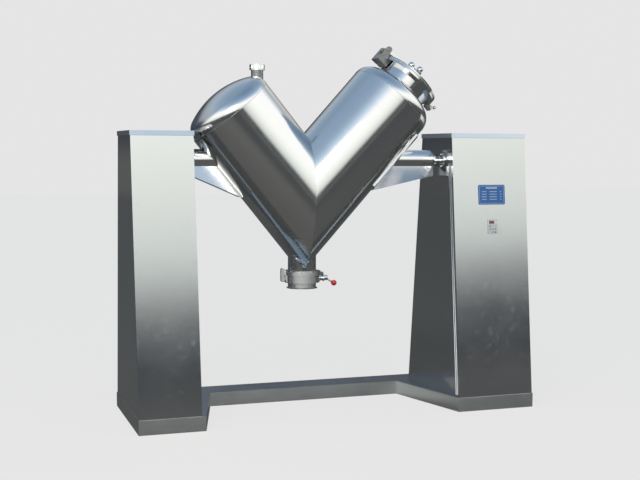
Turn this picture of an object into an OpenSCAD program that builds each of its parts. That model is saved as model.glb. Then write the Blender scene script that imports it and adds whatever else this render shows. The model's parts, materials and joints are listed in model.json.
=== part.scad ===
// V mixer: a two-legged shell turned between two pedestals. Millimetres, +Z up.
// The origin is on the floor under the middle of the base, +X runs along the shaft to the drive.

/* [Stand] */
// Height of the shaft's centre line above the floor
shaft_height = 1352; // [1250:1:1500]
// From the shaft's centre line up to the top of the pedestal caps
cap_above_shaft = 148; // [135:1:200]
// Width of the left pedestal along the shaft
left_width = 317; // [280:1:420]
// Width of the right pedestal, which holds the drive
right_width = 438; // [420:1:560]
// Depth of both pedestals under their caps
top_depth = 398; // [380:1:460]
// Depth of both pedestals where they stand on the base
foot_depth = 708; // [660:1:800]
// Thickness of the stainless panels
sheet = 2; // [1.5:0.1:3]
// Width of the front and back panels' folded edges
panel_edge = 16; // [10:1:24]
// Gap between neighbouring panels
panel_seam = 1; // [0.5:0.1:2]
// Height of the folded caps
cap_height = 24; // [18:1:36]
// How far the caps stand proud of the panels
cap_overhang = 4; // [3:0.5:5]
// Side of the frame's square tube
post_side = 40; // [34:1:50]
// Wall of the frame's square tube
post_wall = 3; // [2:0.5:5]
// Free space between the left head's sweep and the left pedestal
left_gap = 34; // [28:1:60]
// Free space between the manway lid's sweep and the right pedestal
right_gap = 48; // [44:1:80]

/* [Base] */
// Height of the base
base_height = 76; // [60:1:110]
// Wall of the folded base covers
base_wall = 3; // [2:0.5:5]
// How far the base stands proud of the panels
base_margin = 4; // [2:0.5:8]
// Depth of the rear beam that joins the two feet
beam_depth = 174; // [130:1:220]
// Sideways run of the slanted inner edges of the feet
slant_run = 145; // [100:1:200]
// How far the left foot reaches past its pedestal at the front
left_step = 20; // [10:1:30]

/* [Shell] */
// Outer radius of both legs
leg_radius = 239; // [220:1:260]
// Lean of the left leg from the vertical, in degrees
left_angle = 39.2; // [38:0.1:41]
// Lean of the right leg from the vertical, in degrees
right_angle = 42.1; // [40:0.1:43]
// How far the legs' axes meet below the shaft
leg_drop = 230; // [215:1:245]
// Length of the left leg, from the meeting of the axes to its head
left_leg = 630; // [600:1:680]
// Length of the right leg, from the meeting of the axes to its head
right_leg = 741; // [710:1:790]
// Wall of the shell
shell_wall = 4; // [3:0.5:6]
// Outer radius of the heads' knuckles
knuckle = 76; // [64:1:84]
// Outer radius of the heads' crowns
crown = 450; // [420:1:500]

/* [Trunnions] */
// Outer radius of the trunnion tubes
tube_radius = 57; // [54:0.5:62]
// Wall of the trunnion tubes
tube_wall = 6; // [4:0.5:8]
// Outer radius of the rounded shoulder at each tube's end
tube_shoulder = 14; // [8:1:16]
// Free shaft between the right tube's end and the pedestal
right_bare_shaft = 36; // [30:1:50]
// Free shaft between the left tube's end and the pedestal
left_bare_shaft = 26; // [24:1:36]
// Radius of the shafts
shaft_radius = 25; // [22:0.5:27]
// Length of shaft held inside each trunnion tube
shaft_grip = 70; // [60:1:90]
// Radius of the bolted collar on each tube's end
collar_radius = 42; // [40:0.5:43]
// Thickness of the bolted collar
collar_length = 8; // [6:0.5:10]
// Length of the saddle plates along the legs
saddle_length = 372; // [340:1:380]
// How far the right saddle's middle sits below the shaft, along the leg
right_saddle_drop = 26; // [10:1:50]
// How far the left saddle's middle sits below the shaft, along the leg
left_saddle_drop = 60; // [40:1:70]
// Thickness of the saddle plates
saddle_sheet = 7; // [5:0.5:9]
// Angle that each saddle plate wraps around its leg, in degrees
saddle_wrap = 62; // [54:1:70]
// Width of the gussets under the tubes
gusset_width = 96; // [86:1:104]
// Sheet of the gussets
gusset_sheet = 6; // [4:0.5:8]
// Depth of the gussets' outer ends below the shaft's centre line
gusset_depth = 84; // [78:1:90]

/* [Manway] */
// Outer radius of the manway neck
neck_radius = 150; // [140:1:156]
// Wall of the manway neck
neck_wall = 4; // [3:0.5:6]
// Height of the rim's face above the crown of the head
neck_height = 44; // [40:1:56]
// Outer radius of the rim and the lid
rim_radius = 182; // [176:1:190]
// Thickness of the rim
rim_sheet = 12; // [9:0.5:14]
// Thickness of the manway gasket
gasket_height = 4; // [3:0.5:6]
// Thickness of the lid's edge
lid_edge = 8; // [6:0.5:10]
// Outer radius of the lid's dome
lid_crown = 1100; // [900:10:1300]
// Thickness of the cross bar
bar_height = 13; // [10:0.5:15]
// Width of the cross bar
bar_width = 34; // [30:1:40]
// Distance between the middles of the hinge bracket's ears
ear_spacing = 92; // [84:1:100]
// Radius of the clamping screw
screw_radius = 9; // [7:0.5:10]
// Pitch of the clamping screw
screw_pitch = 2.5; // [2:0.5:3]
// Radius of the hand nut's balls
nut_ball = 17; // [11:0.5:18]
// Distance of the hand nut's balls from the screw's axis
nut_reach = 36; // [32:1:42]

/* [Charging port] */
// Distance of the port from the middle of the V
port_offset = 249; // [236:1:256]
// Outer radius of the port's neck
port_radius = 32; // [29:0.5:34]
// Wall of the port's neck
port_wall = 2; // [1.5:0.1:3]
// Height of the port's ring nut above the root of its neck
port_rise = 107.8; // [103:0.1:115]
// Outer radius of the ring nut
ring_radius = 40; // [38:0.5:43]
// Height of the ring nut
ring_height = 28; // [24:1:32]

/* [Discharge] */
// Outer radius of the discharge neck
outlet_radius = 76.2; // [72:0.1:80]
// Wall of the discharge neck
outlet_wall = 2.6; // [2:0.1:3]
// Depth of the valve's stem below the shaft's centre line
stem_drop = 637; // [630:1:650]
// Outer radius of the ferrules that the clamps hold
ferrule_radius = 83.5; // [82:0.1:85]
// Thickness of a ferrule at its edge
ferrule_sheet = 6; // [5:0.5:7]
// Outer radius of the valve's body
valve_radius = 96; // [93:0.5:100]
// Height of the valve's body
valve_height = 38; // [34:1:44]
// Height of the clamp round the upper ferrules
clamp_height = 22; // [18:0.5:23]
// Radius of the valve's stem
stem_radius = 8; // [7:0.5:9]
// Radius of the red ball on the lever
ball_radius = 15.5; // [12:0.5:17]
// Length of the lever's rod
lever_length = 60; // [52:1:76]

/* [Drive] */
// Pitch of the roller chain
chain_pitch = 25.4; // [25.4]
// Teeth of the sprocket on the shell's shaft
big_teeth = 28; // [28]
// Teeth of the sprocket on the reducer
small_teeth = 17; // [17]
// Links in each straight run of the chain
run_links = 25; // [23:1:27]
// Distance of the chain from the right pedestal's inner face
chain_offset = 132; // [130:1:145]
// Radius of the reducer's output shaft
output_radius = 20; // [18:0.5:22]
// Radius of the motor
motor_radius = 88; // [80:1:95]
// Length of the motor
motor_length = 270; // [230:1:300]

/* [Controls] */
// Sideways distance of the plate and the control unit from the right pedestal's middle
panel_offset = 8; // [0:1:20]
// Height of the rating plate's middle above the base
plate_height = 1092; // [1060:1:1130]
// Width of the rating plate
plate_width = 160; // [140:1:180]
// Height of the rating plate itself
plate_tall = 108; // [90:1:120]
// How far the control unit's middle sits below the plate's middle
control_drop = 174; // [160:1:200]
// Width of the control unit's face
control_width = 58; // [54:1:70]
// Height of the control unit's face
control_tall = 80; // [76:1:92]
// Travel of the keys
key_travel = 1.2; // [0.8:0.1:1.5]

/* [Hidden] */
$fn = 96;

// Colours
steel = [0.78, 0.79, 0.80];
polished = [0.70, 0.72, 0.75];
dark_steel = [0.25, 0.26, 0.28];
cast_grey = [0.42, 0.45, 0.48];

// Clearances and overruns
weld_gap = 0.2;
seat_gap = 0.3;
run_fit = 0.05;
overrun = 5;
moving_gap = 1;

// Heights of the stand
pedestal_height = shaft_height + cap_above_shaft;
skirt_z = pedestal_height - cap_height;
panel_top = pedestal_height - sheet;
panel_slope = (foot_depth - top_depth) / 2 / (skirt_z - base_height);
panel_tilt = atan(panel_slope);

// Size of the shell along the shaft
mitre_lean = (right_angle - left_angle) / 2;
v_half = (right_angle + left_angle) / 2;
crown_drop = sqrt(pow(crown - knuckle, 2) - pow(leg_radius - knuckle, 2));
dish_height = crown - crown_drop;
rim_top = right_leg + dish_height + neck_height;
left_reach = left_leg * sin(left_angle) + (leg_radius - knuckle) * cos(left_angle) + knuckle + left_gap;
right_reach = rim_top * sin(right_angle) + rim_radius * cos(right_angle) + right_gap;
base_length = 2 * base_margin + left_width + left_reach + right_reach + right_width;
left_outer = -base_length / 2 + base_margin;
left_inner = left_outer + left_width;
shell_x = left_inner + left_reach;
right_inner = shell_x + right_reach;
right_outer = right_inner + right_width;
control_height = plate_height - control_drop;
base_half = foot_depth / 2 + base_margin;
beam_front = base_half - beam_depth;

// Half the depth of the pedestals at a height
function half_depth(z) = foot_depth / 2 - (z - base_height) * panel_slope;

// A flat outline in Y and Z, carried along X from x by w
module along_x(x, w) translate([x, 0, 0]) rotate([90, 0, 90]) linear_extrude(w) children();

// A slanted strip that follows the front panel's face, inset from it and wide along Y
module front_strip(inset, wide, z_low, z_high)
    polygon([
        [-half_depth(z_low) + inset, z_low], [-half_depth(z_low) + inset + wide, z_low],
        [-half_depth(z_high) + inset + wide, z_high], [-half_depth(z_high) + inset, z_high]
    ]);

// The outline of a pedestal seen along the shaft, inset on both slopes
module side_outline(inset, z_low, z_high)
    polygon([
        [-half_depth(z_low) + inset, z_low], [half_depth(z_low) - inset, z_low],
        [half_depth(z_high) - inset, z_high], [-half_depth(z_high) + inset, z_high]
    ]);

// Base
foot_slope = slant_run / (beam_front + base_half);
slant_wall = base_wall * sqrt(1 + pow(foot_slope, 2));

// A foot's outline for a pedestal on the right, its inner edge at x_in, shrunk by the wall on all sides
module foot_outline(x_in, x_out, wall, slant)
    polygon([
        [x_in + slant - foot_slope * wall, -base_half + wall], [x_out - wall, -base_half + wall],
        [x_out - wall, base_half - wall], [x_in - slant_run + wall, base_half - wall],
        [x_in - slant_run + wall, min(beam_front + (slant - wall) / foot_slope, base_half - 2 * wall)]
    ]);

module foot(x_in, x_out)
    difference() {
        linear_extrude(base_height) foot_outline(x_in, x_out, 0, 0);
        translate([0, 0, -overrun])
            linear_extrude(base_height + overrun - base_wall)
                foot_outline(x_in, x_out, base_wall, slant_wall);
    }

module right_foot() color(steel) foot(right_inner - base_margin, right_outer + base_margin);

module left_foot()
    color(steel) mirror([1, 0, 0]) foot(-left_inner - left_step, -left_outer + base_margin);

module rear_beam() {
    x_left = left_inner + left_step + slant_run + weld_gap;
    x_right = right_inner - base_margin - slant_run - weld_gap;
    color(steel) translate([x_left, beam_front, 0])
        difference() {
            cube([x_right - x_left, beam_depth, base_height]);
            translate([base_wall, base_wall, -overrun])
                cube([
                    x_right - x_left - 2 * base_wall, beam_depth - 2 * base_wall,
                    base_height + overrun - base_wall
                ]);
        }
}

// Pedestals
module sloped_panel(x, w, window_x, window_z, window_w, window_h) {
    difference() {
        union() {
            along_x(x, w) front_strip(0, sheet, base_height, panel_top);
            along_x(x, sheet) front_strip(0, panel_edge, base_height, panel_top);
            along_x(x + w - sheet, sheet) front_strip(0, panel_edge, base_height, panel_top);
        }
        if (window_w > 0)
            on_front(window_x, window_z)
                cube([window_w, window_h, 2 * overrun], center = true);
    }
}

// Moves a piece drawn flat, +Z outwards, onto the front panel's face at a height above the base
module on_front(x, h)
    translate([x, -half_depth(base_height + h), base_height + h])
        rotate([90 - panel_tilt, 0, 0]) children();

module side_panel(x, z_low, z_high, hole)
    difference() {
        along_x(x, sheet) side_outline(panel_edge + panel_seam, z_low, z_high);
        if (hole > 0)
            translate([x - overrun, 0, shaft_height])
                rotate([0, 90, 0]) cylinder(r = hole, h = sheet + 2 * overrun);
    }

module cap(x, w) {
    half = half_depth(skirt_z) + cap_overhang;
    color(steel) difference() {
        translate([x - cap_overhang, -half, skirt_z])
            cube([w + 2 * cap_overhang, 2 * half, cap_height]);
        translate([x - cap_overhang + sheet, -half + sheet, skirt_z - overrun])
            cube([w + 2 * cap_overhang - 2 * sheet, 2 * (half - sheet), cap_height - sheet + overrun]);
    }
}

bearing_rise = 57;
housing_radius = 52;
bearing_width = 58;
bearing_length = 204;
bearing_sheet = 18;
bearing_bolt_spacing = 158;
bearing_bolt = 8;
bolt_head = 13.6;
shelf_sheet = 12;
shelf_depth = 106;
shelf_z = shaft_height - bearing_rise - shelf_sheet;

// One upright of the frame, a hollow square tube that leans with the front face
module post(x)
    difference() {
        along_x(x, post_side) front_strip(sheet, post_side, base_height, panel_top);
        along_x(x + post_wall, post_side - 2 * post_wall)
            front_strip(sheet + post_wall, post_side - 2 * post_wall, base_height - overrun, panel_top + overrun);
    }

rail = post_side - 4 * post_wall;

module stand_frame(x_low, x_high, shelf_x, support_x) {
    first = x_low + sheet;
    last = x_high - sheet - post_side;
    color(cast_grey) {
        for (x = [first, last], side = [0, 1]) mirror([0, side, 0]) post(x);
        difference() {
            along_x(shelf_x, shelf_depth) side_outline(sheet + post_side / 2, shelf_z, shelf_z + shelf_sheet);
            for (y = [-bearing_bolt_spacing / 2, bearing_bolt_spacing / 2])
                translate([bearing_x(shelf_x), y, shelf_z - overrun])
                    cylinder(r = bearing_bolt + seat_gap, h = shelf_sheet + 2 * overrun);
        }
        along_x(support_x, rail)
            side_outline(sheet + post_side / 2, shelf_z - rail, shelf_z + shelf_sheet / 2);
        for (z = [shelf_z - rail + post_wall, panel_top - post_side], side = [0, 1])
            mirror([0, side, 0])
                along_x(first + post_side / 2, last - first) front_strip(sheet + 2 * post_wall, rail, z, z + rail);
        for (x = [first, last])
            along_x(x + 2 * post_wall, rail)
                side_outline(
                    sheet + post_side / 2, panel_top - rail - 3 * post_wall, panel_top - 3 * post_wall
                );
    }
}

function bearing_x(shelf_x) = shelf_x + shelf_depth / 2;
left_shelf_x = left_inner - sheet - shelf_depth - post_wall / 2;
right_shelf_x = right_inner + sheet + post_wall / 2;

module left_frame() stand_frame(left_outer, left_inner, left_shelf_x, left_shelf_x + post_wall);
module left_front_panel() color(steel) sloped_panel(left_outer, left_width, 0, 0, 0, 0);
module left_back_panel() color(steel) mirror([0, 1, 0]) sloped_panel(left_outer, left_width, 0, 0, 0, 0);
module left_outer_panel() color(polished) side_panel(left_outer, base_height, panel_top, 0);
module left_inner_panel_top()
    color(polished) side_panel(left_inner - sheet, shaft_height + panel_seam / 2, panel_top, shaft_hole);
module left_inner_panel_bottom()
    color(polished) side_panel(left_inner - sheet, base_height, shaft_height - panel_seam / 2, shaft_hole);
module left_cap() cap(left_outer, left_width);

shaft_hole = shaft_radius + overrun;
right_middle = (right_inner + right_outer) / 2 + panel_offset;
control_border = 3;
control_inset = 2 * control_border;

module right_frame()
    stand_frame(right_inner, right_outer, right_shelf_x, right_shelf_x + shelf_depth - rail - post_wall);
module right_front_panel()
    color(steel) sloped_panel(
        right_inner, right_width, right_middle, control_height,
        control_width - control_inset, control_tall - control_inset
    );
module right_back_panel() color(steel) mirror([0, 1, 0]) sloped_panel(right_inner, right_width, 0, 0, 0, 0);
module right_outer_panel() color(polished) side_panel(right_outer - sheet, base_height, panel_top, 0);
module right_inner_panel_top()
    color(polished) side_panel(right_inner, shaft_height + panel_seam / 2, panel_top, shaft_hole);
module right_inner_panel_bottom()
    color(polished) side_panel(right_inner, base_height, shaft_height - panel_seam / 2, shaft_hole);
module right_cap() cap(right_inner, right_width);

// Bearings
module bearing_bolts(x)
    for (y = [-bearing_bolt_spacing / 2, bearing_bolt_spacing / 2])
        translate([x, y, 0]) {
            translate([0, 0, shelf_z - bearing_bolt])
                cylinder(r = bearing_bolt, h = shelf_sheet + bearing_sheet + 2 * bearing_bolt);
            translate([0, 0, shelf_z + shelf_sheet + bearing_sheet])
                cylinder(r = bolt_head, h = bearing_bolt, $fn = 6);
        }

module bearing(x) {
    seat_z = shelf_z + shelf_sheet;
    color(cast_grey) union() {
        difference() {
            union() {
                translate([x - bearing_width / 2, -bearing_length / 2, seat_z])
                    cube([bearing_width, bearing_length, bearing_sheet]);
                along_x(x - bearing_width / 2, bearing_width)
                    polygon([
                        [-bearing_rise, seat_z], [bearing_rise, seat_z],
                        [housing_radius, shaft_height], [-housing_radius, shaft_height]
                    ]);
                translate([x - bearing_width / 2, 0, shaft_height])
                    rotate([0, 90, 0]) cylinder(r = housing_radius, h = bearing_width);
            }
            translate([x - bearing_width / 2 - overrun, 0, shaft_height])
                rotate([0, 90, 0]) cylinder(r = shaft_radius + run_fit, h = bearing_width + 2 * overrun);
        }
        bearing_bolts(x);
    }
}

module left_bearing() bearing(bearing_x(left_shelf_x));
module right_bearing() bearing(bearing_x(right_shelf_x));

// Roller chain between the two sprockets
big_pitch_radius = chain_pitch / 2 / sin(180 / big_teeth);
small_pitch_radius = chain_pitch / 2 / sin(180 / small_teeth);
big_wrap = big_teeth / 4;
small_wrap = floor(small_teeth / 4);
small_step = 360 / small_teeth;
run_x = big_pitch_radius - small_pitch_radius * sin(small_wrap * small_step);
chain_drop = sqrt(pow(run_links * chain_pitch, 2) - pow(run_x, 2))
    - small_pitch_radius * cos(small_wrap * small_step);
chain_x = right_inner + chain_offset;
roller_radius = 7.9;
roller_width = 15.8;
pin_radius = 4;
link_sheet = 3.2;
link_radius = 11;
link_waist = 17;
sprocket_sheet = 14.4;
tooth_clearance = 1;
tooth_share = 0.27;
hub_share = 0.42;

function big_seat(i) = [big_pitch_radius * sin(i * 360 / big_teeth), big_pitch_radius * cos(i * 360 / big_teeth)];
function small_seat(i) = [
    small_pitch_radius * sin(i * small_step), -chain_drop - small_pitch_radius * cos(i * small_step)
];
chain_pins = concat(
    [for (i = [-big_wrap : big_wrap]) big_seat(i)],
    [for (k = [1 : run_links - 1]) big_seat(big_wrap) + (small_seat(small_wrap) - big_seat(big_wrap)) * k / run_links],
    [for (i = [small_wrap : -1 : -small_wrap]) small_seat(i)],
    [for (k = [1 : run_links - 1])
        small_seat(-small_wrap) + (big_seat(-big_wrap) - small_seat(-small_wrap)) * k / run_links]
);

module link_plate() {
    circle(r = link_radius, $fn = 24);
    translate([chain_pitch, 0]) circle(r = link_radius, $fn = 24);
    translate([0, -link_waist / 2]) square([chain_pitch, link_waist]);
}

module outer_link() {
    half = roller_width / 2 + link_sheet + 2 * seat_gap;
    for (z = [-half - link_sheet, half]) translate([0, 0, z]) linear_extrude(link_sheet) link_plate();
    for (x = [0, chain_pitch])
        translate([x, 0, -half - link_sheet]) cylinder(r = pin_radius, h = 2 * (half + link_sheet), $fn = 24);
}

module inner_link()
    difference() {
        union() {
            for (z = [-roller_width / 2 - link_sheet, roller_width / 2])
                translate([0, 0, z]) linear_extrude(link_sheet) link_plate();
            for (x = [0, chain_pitch])
                translate([x, 0, -roller_width / 2]) cylinder(r = roller_radius, h = roller_width, $fn = 24);
        }
        for (x = [0, chain_pitch])
            translate([x, 0, -roller_width])
                cylinder(r = pin_radius + run_fit, h = 2 * roller_width, $fn = 24);
    }

module drive_chain()
    color(dark_steel)
        for (i = [0 : len(chain_pins) - 1]) {
            a = chain_pins[i];
            b = chain_pins[(i + 1) % len(chain_pins)];
            translate([chain_x, a[0], shaft_height + a[1]])
                rotate([90, 0, 90]) rotate([0, 0, atan2(b[1] - a[1], b[0] - a[0])])
                    if (i % 2 == 0) outer_link(); else inner_link();
        }

module sprocket_outline(teeth, pitch_radius, phase) {
    tip = pitch_radius + chain_pitch * tooth_share;
    seat = roller_radius + tooth_clearance;
    difference() {
        circle(r = tip);
        for (i = [0 : teeth - 1]) rotate(phase + i * 360 / teeth) {
            translate([0, pitch_radius]) circle(r = seat, $fn = 32);
            polygon([
                [-seat, pitch_radius], [seat, pitch_radius],
                [seat + 2 * tooth_clearance, tip + overrun], [-seat - 2 * tooth_clearance, tip + overrun]
            ]);
        }
    }
}

module sprocket(teeth, pitch_radius, phase, bore, hub) {
    color(dark_steel) difference() {
        union() {
            linear_extrude(sprocket_sheet, center = true) sprocket_outline(teeth, pitch_radius, phase);
            cylinder(r = pitch_radius * hub_share, h = hub, center = true);
        }
        cylinder(r = bore, h = hub + 2 * overrun, center = true);
    }
}

sprocket_hub = 44;
module big_sprocket()
    translate([chain_x, 0, shaft_height]) rotate([90, 0, 90])
        sprocket(big_teeth, big_pitch_radius, 0, shaft_radius + weld_gap, sprocket_hub);

module small_sprocket() {
    translate([chain_x, 0, shaft_height - chain_drop]) rotate([90, 0, 90])
        sprocket(small_teeth, small_pitch_radius, 180, output_radius + weld_gap, sprocket_hub);
    color(steel) translate([chain_x - sprocket_hub / 2 - overrun, 0, shaft_height - chain_drop])
        rotate([0, 90, 0]) cylinder(r = output_radius, h = reducer_x + reducer_width - chain_x + sprocket_hub / 2);
}

// Reducer and motor
reducer_width = 136;
reducer_gap = 10;
reducer_half = 92;
worm_offset = 84;
reducer_x = chain_x + sprocket_hub / 2 + reducer_gap;
reducer_foot = 118;
drive_shelf_z = shaft_height - chain_drop - reducer_foot - shelf_sheet;
motor_flange = 12;
motor_boss = 46;
fin_count = 24;
fin_height = 7;
fin_width = 4;
cover_share = 0.24;
box_size = [70, 60, 100];
box_seat_share = 0.33;

module gear_reducer() {
    z = shaft_height - chain_drop;
    foot_z = drive_shelf_z + shelf_sheet;
    color(cast_grey) difference() {
        union() {
            translate([reducer_x, 0, z]) rotate([0, 90, 0]) cylinder(r = reducer_half, h = reducer_width);
            translate([reducer_x + reducer_width / 2, worm_offset, foot_z])
                cylinder(r = reducer_width / 2, h = 2 * reducer_foot - fin_height);
            translate([reducer_x, -reducer_half, foot_z])
                cube([reducer_width, reducer_half + worm_offset + motor_boss, shelf_sheet]);
            translate([reducer_x + 2 * fin_height, -motor_boss, foot_z])
                cube([reducer_width - 4 * fin_height, worm_offset + motor_boss, reducer_foot]);
        }
        translate([reducer_x - overrun, 0, z])
            rotate([0, 90, 0]) cylinder(r = output_radius + run_fit, h = reducer_width + 2 * overrun);
    }
}

module drive_shelf()
    color(cast_grey) difference() {
        along_x(right_inner + sheet, right_width - 2 * sheet)
            side_outline(sheet + post_side, drive_shelf_z, drive_shelf_z + shelf_sheet);
        translate([reducer_x + reducer_width / 2, worm_offset, drive_shelf_z - overrun])
            cylinder(r = motor_boss + seat_gap, h = shelf_sheet + 2 * overrun);
    }

module drive_motor() {
    low = drive_shelf_z - motor_length;
    color("steelblue") translate([reducer_x + reducer_width / 2, worm_offset, 0]) {
        translate([0, 0, drive_shelf_z]) cylinder(r = motor_boss, h = shelf_sheet);
        translate([0, 0, drive_shelf_z - motor_flange]) cylinder(r = motor_radius, h = motor_flange);
        translate([0, 0, low + motor_length * cover_share])
            cylinder(r = motor_radius - 2 * fin_height, h = motor_length * (1 - cover_share) - motor_flange);
        for (i = [0 : fin_count - 1]) rotate(i * 360 / fin_count)
            translate([motor_radius - 3 * fin_height, -fin_width / 2, low + motor_length * cover_share])
                cube([2 * fin_height, fin_width, motor_length * (1 - cover_share) - motor_flange]);
        translate([0, 0, low]) cylinder(r = motor_radius, h = motor_length * cover_share);
        translate([-box_size[0] / 2, -motor_radius - box_size[1] * box_seat_share, drive_shelf_z - motor_flange - box_size[2] - 2 * fin_height])
            cube(box_size);
    }
}

// Controls on the right pedestal
plate_sheet = 1.5;
plate_corner = 8;
unit_depth = 42;
face_sheet = 4;
window_width = 30;
window_tall = 16;
window_rise = 24;
window_side = -6;
key_radius = 4.2;
key_column = 16;
key_row = 17;
key_low = -30;
key_height = 3;
key_places = [[-1, 2], [-1, 1], [0, 1], [1, 1], [0, 0], [1, 0]];
rivet_radius = 2.2;

module rating_plate() {
    color([0.10, 0.28, 0.62]) on_front(right_middle, plate_height) {
        linear_extrude(plate_sheet) union() {
            square([plate_width - 2 * plate_corner, plate_tall], center = true);
            square([plate_width, plate_tall - 2 * plate_corner], center = true);
            for (sx = [-1, 1], sy = [-1, 1])
                translate([sx * (plate_width / 2 - plate_corner), sy * (plate_tall / 2 - plate_corner)])
                    circle(r = plate_corner);
        }
        for (sx = [-1, 1], sy = [-1, 1])
            translate([sx * (plate_width / 2 - plate_corner), sy * (plate_tall / 2 - plate_corner), 0])
                cylinder(r = rivet_radius, h = 2 * plate_sheet, $fn = 24);
    }
}

module key_wells()
    for (place = key_places)
        translate([place[0] * key_column, key_low + place[1] * key_row, 0])
            cylinder(r = key_radius + seat_gap, h = face_sheet + overrun, $fn = 32);

module control_unit() {
    color([0.82, 0.84, 0.80]) on_front(right_middle, control_height)
        difference() {
            union() {
                translate([-control_width / 2, -control_tall / 2, 0]) cube([control_width, control_tall, face_sheet]);
                translate([
                    -control_width / 2 + control_border + seat_gap,
                    -control_tall / 2 + control_border + seat_gap, -unit_depth
                ])
                    cube([
                        control_width - control_inset - 2 * seat_gap,
                        control_tall - control_inset - 2 * seat_gap, unit_depth
                    ]);
            }
            translate([0, 0, face_sheet - key_height - key_travel / 2]) key_wells();
            translate([window_side - window_width / 2, window_rise - window_tall / 2, face_sheet - plate_sheet])
                cube([window_width, window_tall, face_sheet]);
        }
}

module display_window()
    color([0.20, 0.05, 0.06]) on_front(right_middle, control_height)
        translate([
            window_side - window_width / 2 + seat_gap, window_rise - window_tall / 2 + seat_gap,
            face_sheet - plate_sheet
        ])
            cube([window_width - 2 * seat_gap, window_tall - 2 * seat_gap, plate_sheet]);

module key(i)
    color(i < 2 ? [0.5, 0.5, 0.5] : [0.35, 0.55, 0.45])
        on_front(right_middle, control_height)
            translate([
                key_places[i][0] * key_column, key_low + key_places[i][1] * key_row,
                face_sheet - key_height + key_travel
            ])
                cylinder(r = key_radius, h = key_height, $fn = 32);

module key_1() key(0);
module key_2() key(1);
module key_3() key(2);
module key_4() key(3);
module key_5() key(4);
module key_6() key(5);

// Shell frames: the meeting of the legs' axes, and each leg with +Z along its axis and +X to its outer underside
shell_z = shaft_height - leg_drop;
module at_shell() translate([shell_x, 0, shell_z]) children();
module on_right() at_shell() rotate([0, right_angle, 0]) children();
module on_left() at_shell() rotate([0, -left_angle, 0]) mirror([1, 0, 0]) children();

leg_tail = leg_radius / tan(v_half) + leg_radius;
apex = leg_radius / sin(v_half);
outlet_bore = outlet_radius - outlet_wall;

// One leg in the shell's frame, cut on the mitre plane
module leg(angle, lean, length)
    difference() {
        intersection() {
            rotate([0, angle, 0]) translate([0, 0, -leg_tail]) cylinder(r = leg_radius, h = leg_tail + length);
            rotate([0, lean, 0]) translate([0, -leg_radius - overrun, -leg_tail])
                cube([leg_tail + length, 2 * (leg_radius + overrun), 2 * leg_tail + length]);
        }
        rotate([0, angle, 0]) translate([0, 0, -leg_tail - overrun])
            cylinder(r = leg_radius - shell_wall, h = leg_tail + length + 2 * overrun);
        translate([0, 0, -apex - leg_radius]) cylinder(r = outlet_bore, h = apex + leg_radius);
    }

module right_leg() color(polished) at_shell() leg(right_angle, mitre_lean, right_leg);
module left_leg() color(polished) at_shell() mirror([1, 0, 0]) leg(left_angle, -mitre_lean, left_leg);

// The wall of a dished head in its half plane, the tangent line at zero height
module dish_wall() {
    reach = 2 * crown / (crown - knuckle);
    side = [reach * (leg_radius - knuckle), -crown_drop + reach * crown_drop];
    intersection() {
        translate([0, -crown_drop]) difference() {
            circle(r = crown);
            circle(r = crown - shell_wall);
        }
        polygon([[0, -crown_drop], side, [0, crown]]);
    }
    intersection() {
        translate([leg_radius - knuckle, 0]) difference() {
            circle(r = knuckle);
            circle(r = knuckle - shell_wall);
        }
        polygon([[leg_radius - knuckle, 0], [leg_radius + crown, 0], side]);
    }
}

module head() rotate_extrude() dish_wall();

module left_head()
    color(polished) difference() {
        on_left() translate([0, 0, left_leg]) head();
        at_shell() translate([-port_offset, 0, port_root]) cylinder(r = port_radius - port_wall, h = port_height);
    }
module right_head()
    color(polished) on_right() difference() {
        translate([0, 0, right_leg]) head();
        translate([0, 0, right_leg]) cylinder(r = neck_radius - neck_wall, h = crown);
    }

// Saddles, gussets, trunnions and shafts
function saddle_low(angle, drop) = leg_drop / cos(angle) + leg_radius * tan(angle) - drop - saddle_length / 2;
right_saddle_low = saddle_low(right_angle, right_saddle_drop);
left_saddle_low = saddle_low(left_angle, left_saddle_drop);
saddle_radius = leg_radius + weld_gap;
right_tube_end = right_reach - right_bare_shaft;
left_tube_end = left_reach - left_bare_shaft;

module saddle(low)
    rotate([0, 0, -saddle_wrap / 2]) translate([0, 0, low])
        rotate_extrude(angle = saddle_wrap) translate([saddle_radius, 0]) square([saddle_sheet, saddle_length]);

module right_saddle() color(polished) on_right() saddle(right_saddle_low);
module left_saddle() color(polished) on_left() saddle(left_saddle_low);

// What the tubes and gussets are cut back to: the leg with its saddle
module leg_cut(angle)
    translate([0, 0, -leg_drop]) rotate([0, angle, 0]) translate([0, 0, -leg_radius])
        cylinder(r = saddle_radius + saddle_sheet + weld_gap, h = right_leg + 2 * leg_radius);

// The wall of a trunnion tube in its half plane, closed by a rounded end with a hole for the shaft
module tube_wall_outline(length) {
    square_end = tube_radius - tube_shoulder;
    translate([tube_radius - tube_wall, 0]) square([tube_wall, length - tube_shoulder]);
    translate([shaft_radius + weld_gap, length - tube_wall])
        square([square_end - shaft_radius - weld_gap, tube_wall]);
    intersection() {
        translate([square_end, length - tube_shoulder]) difference() {
            circle(r = tube_shoulder);
            circle(r = tube_shoulder - tube_wall);
        }
        translate([square_end, length - tube_shoulder]) square(2 * tube_shoulder);
    }
}

collar_bolt_count = 6;
collar_bolt = 6;
collar_bolt_height = 7;

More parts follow.
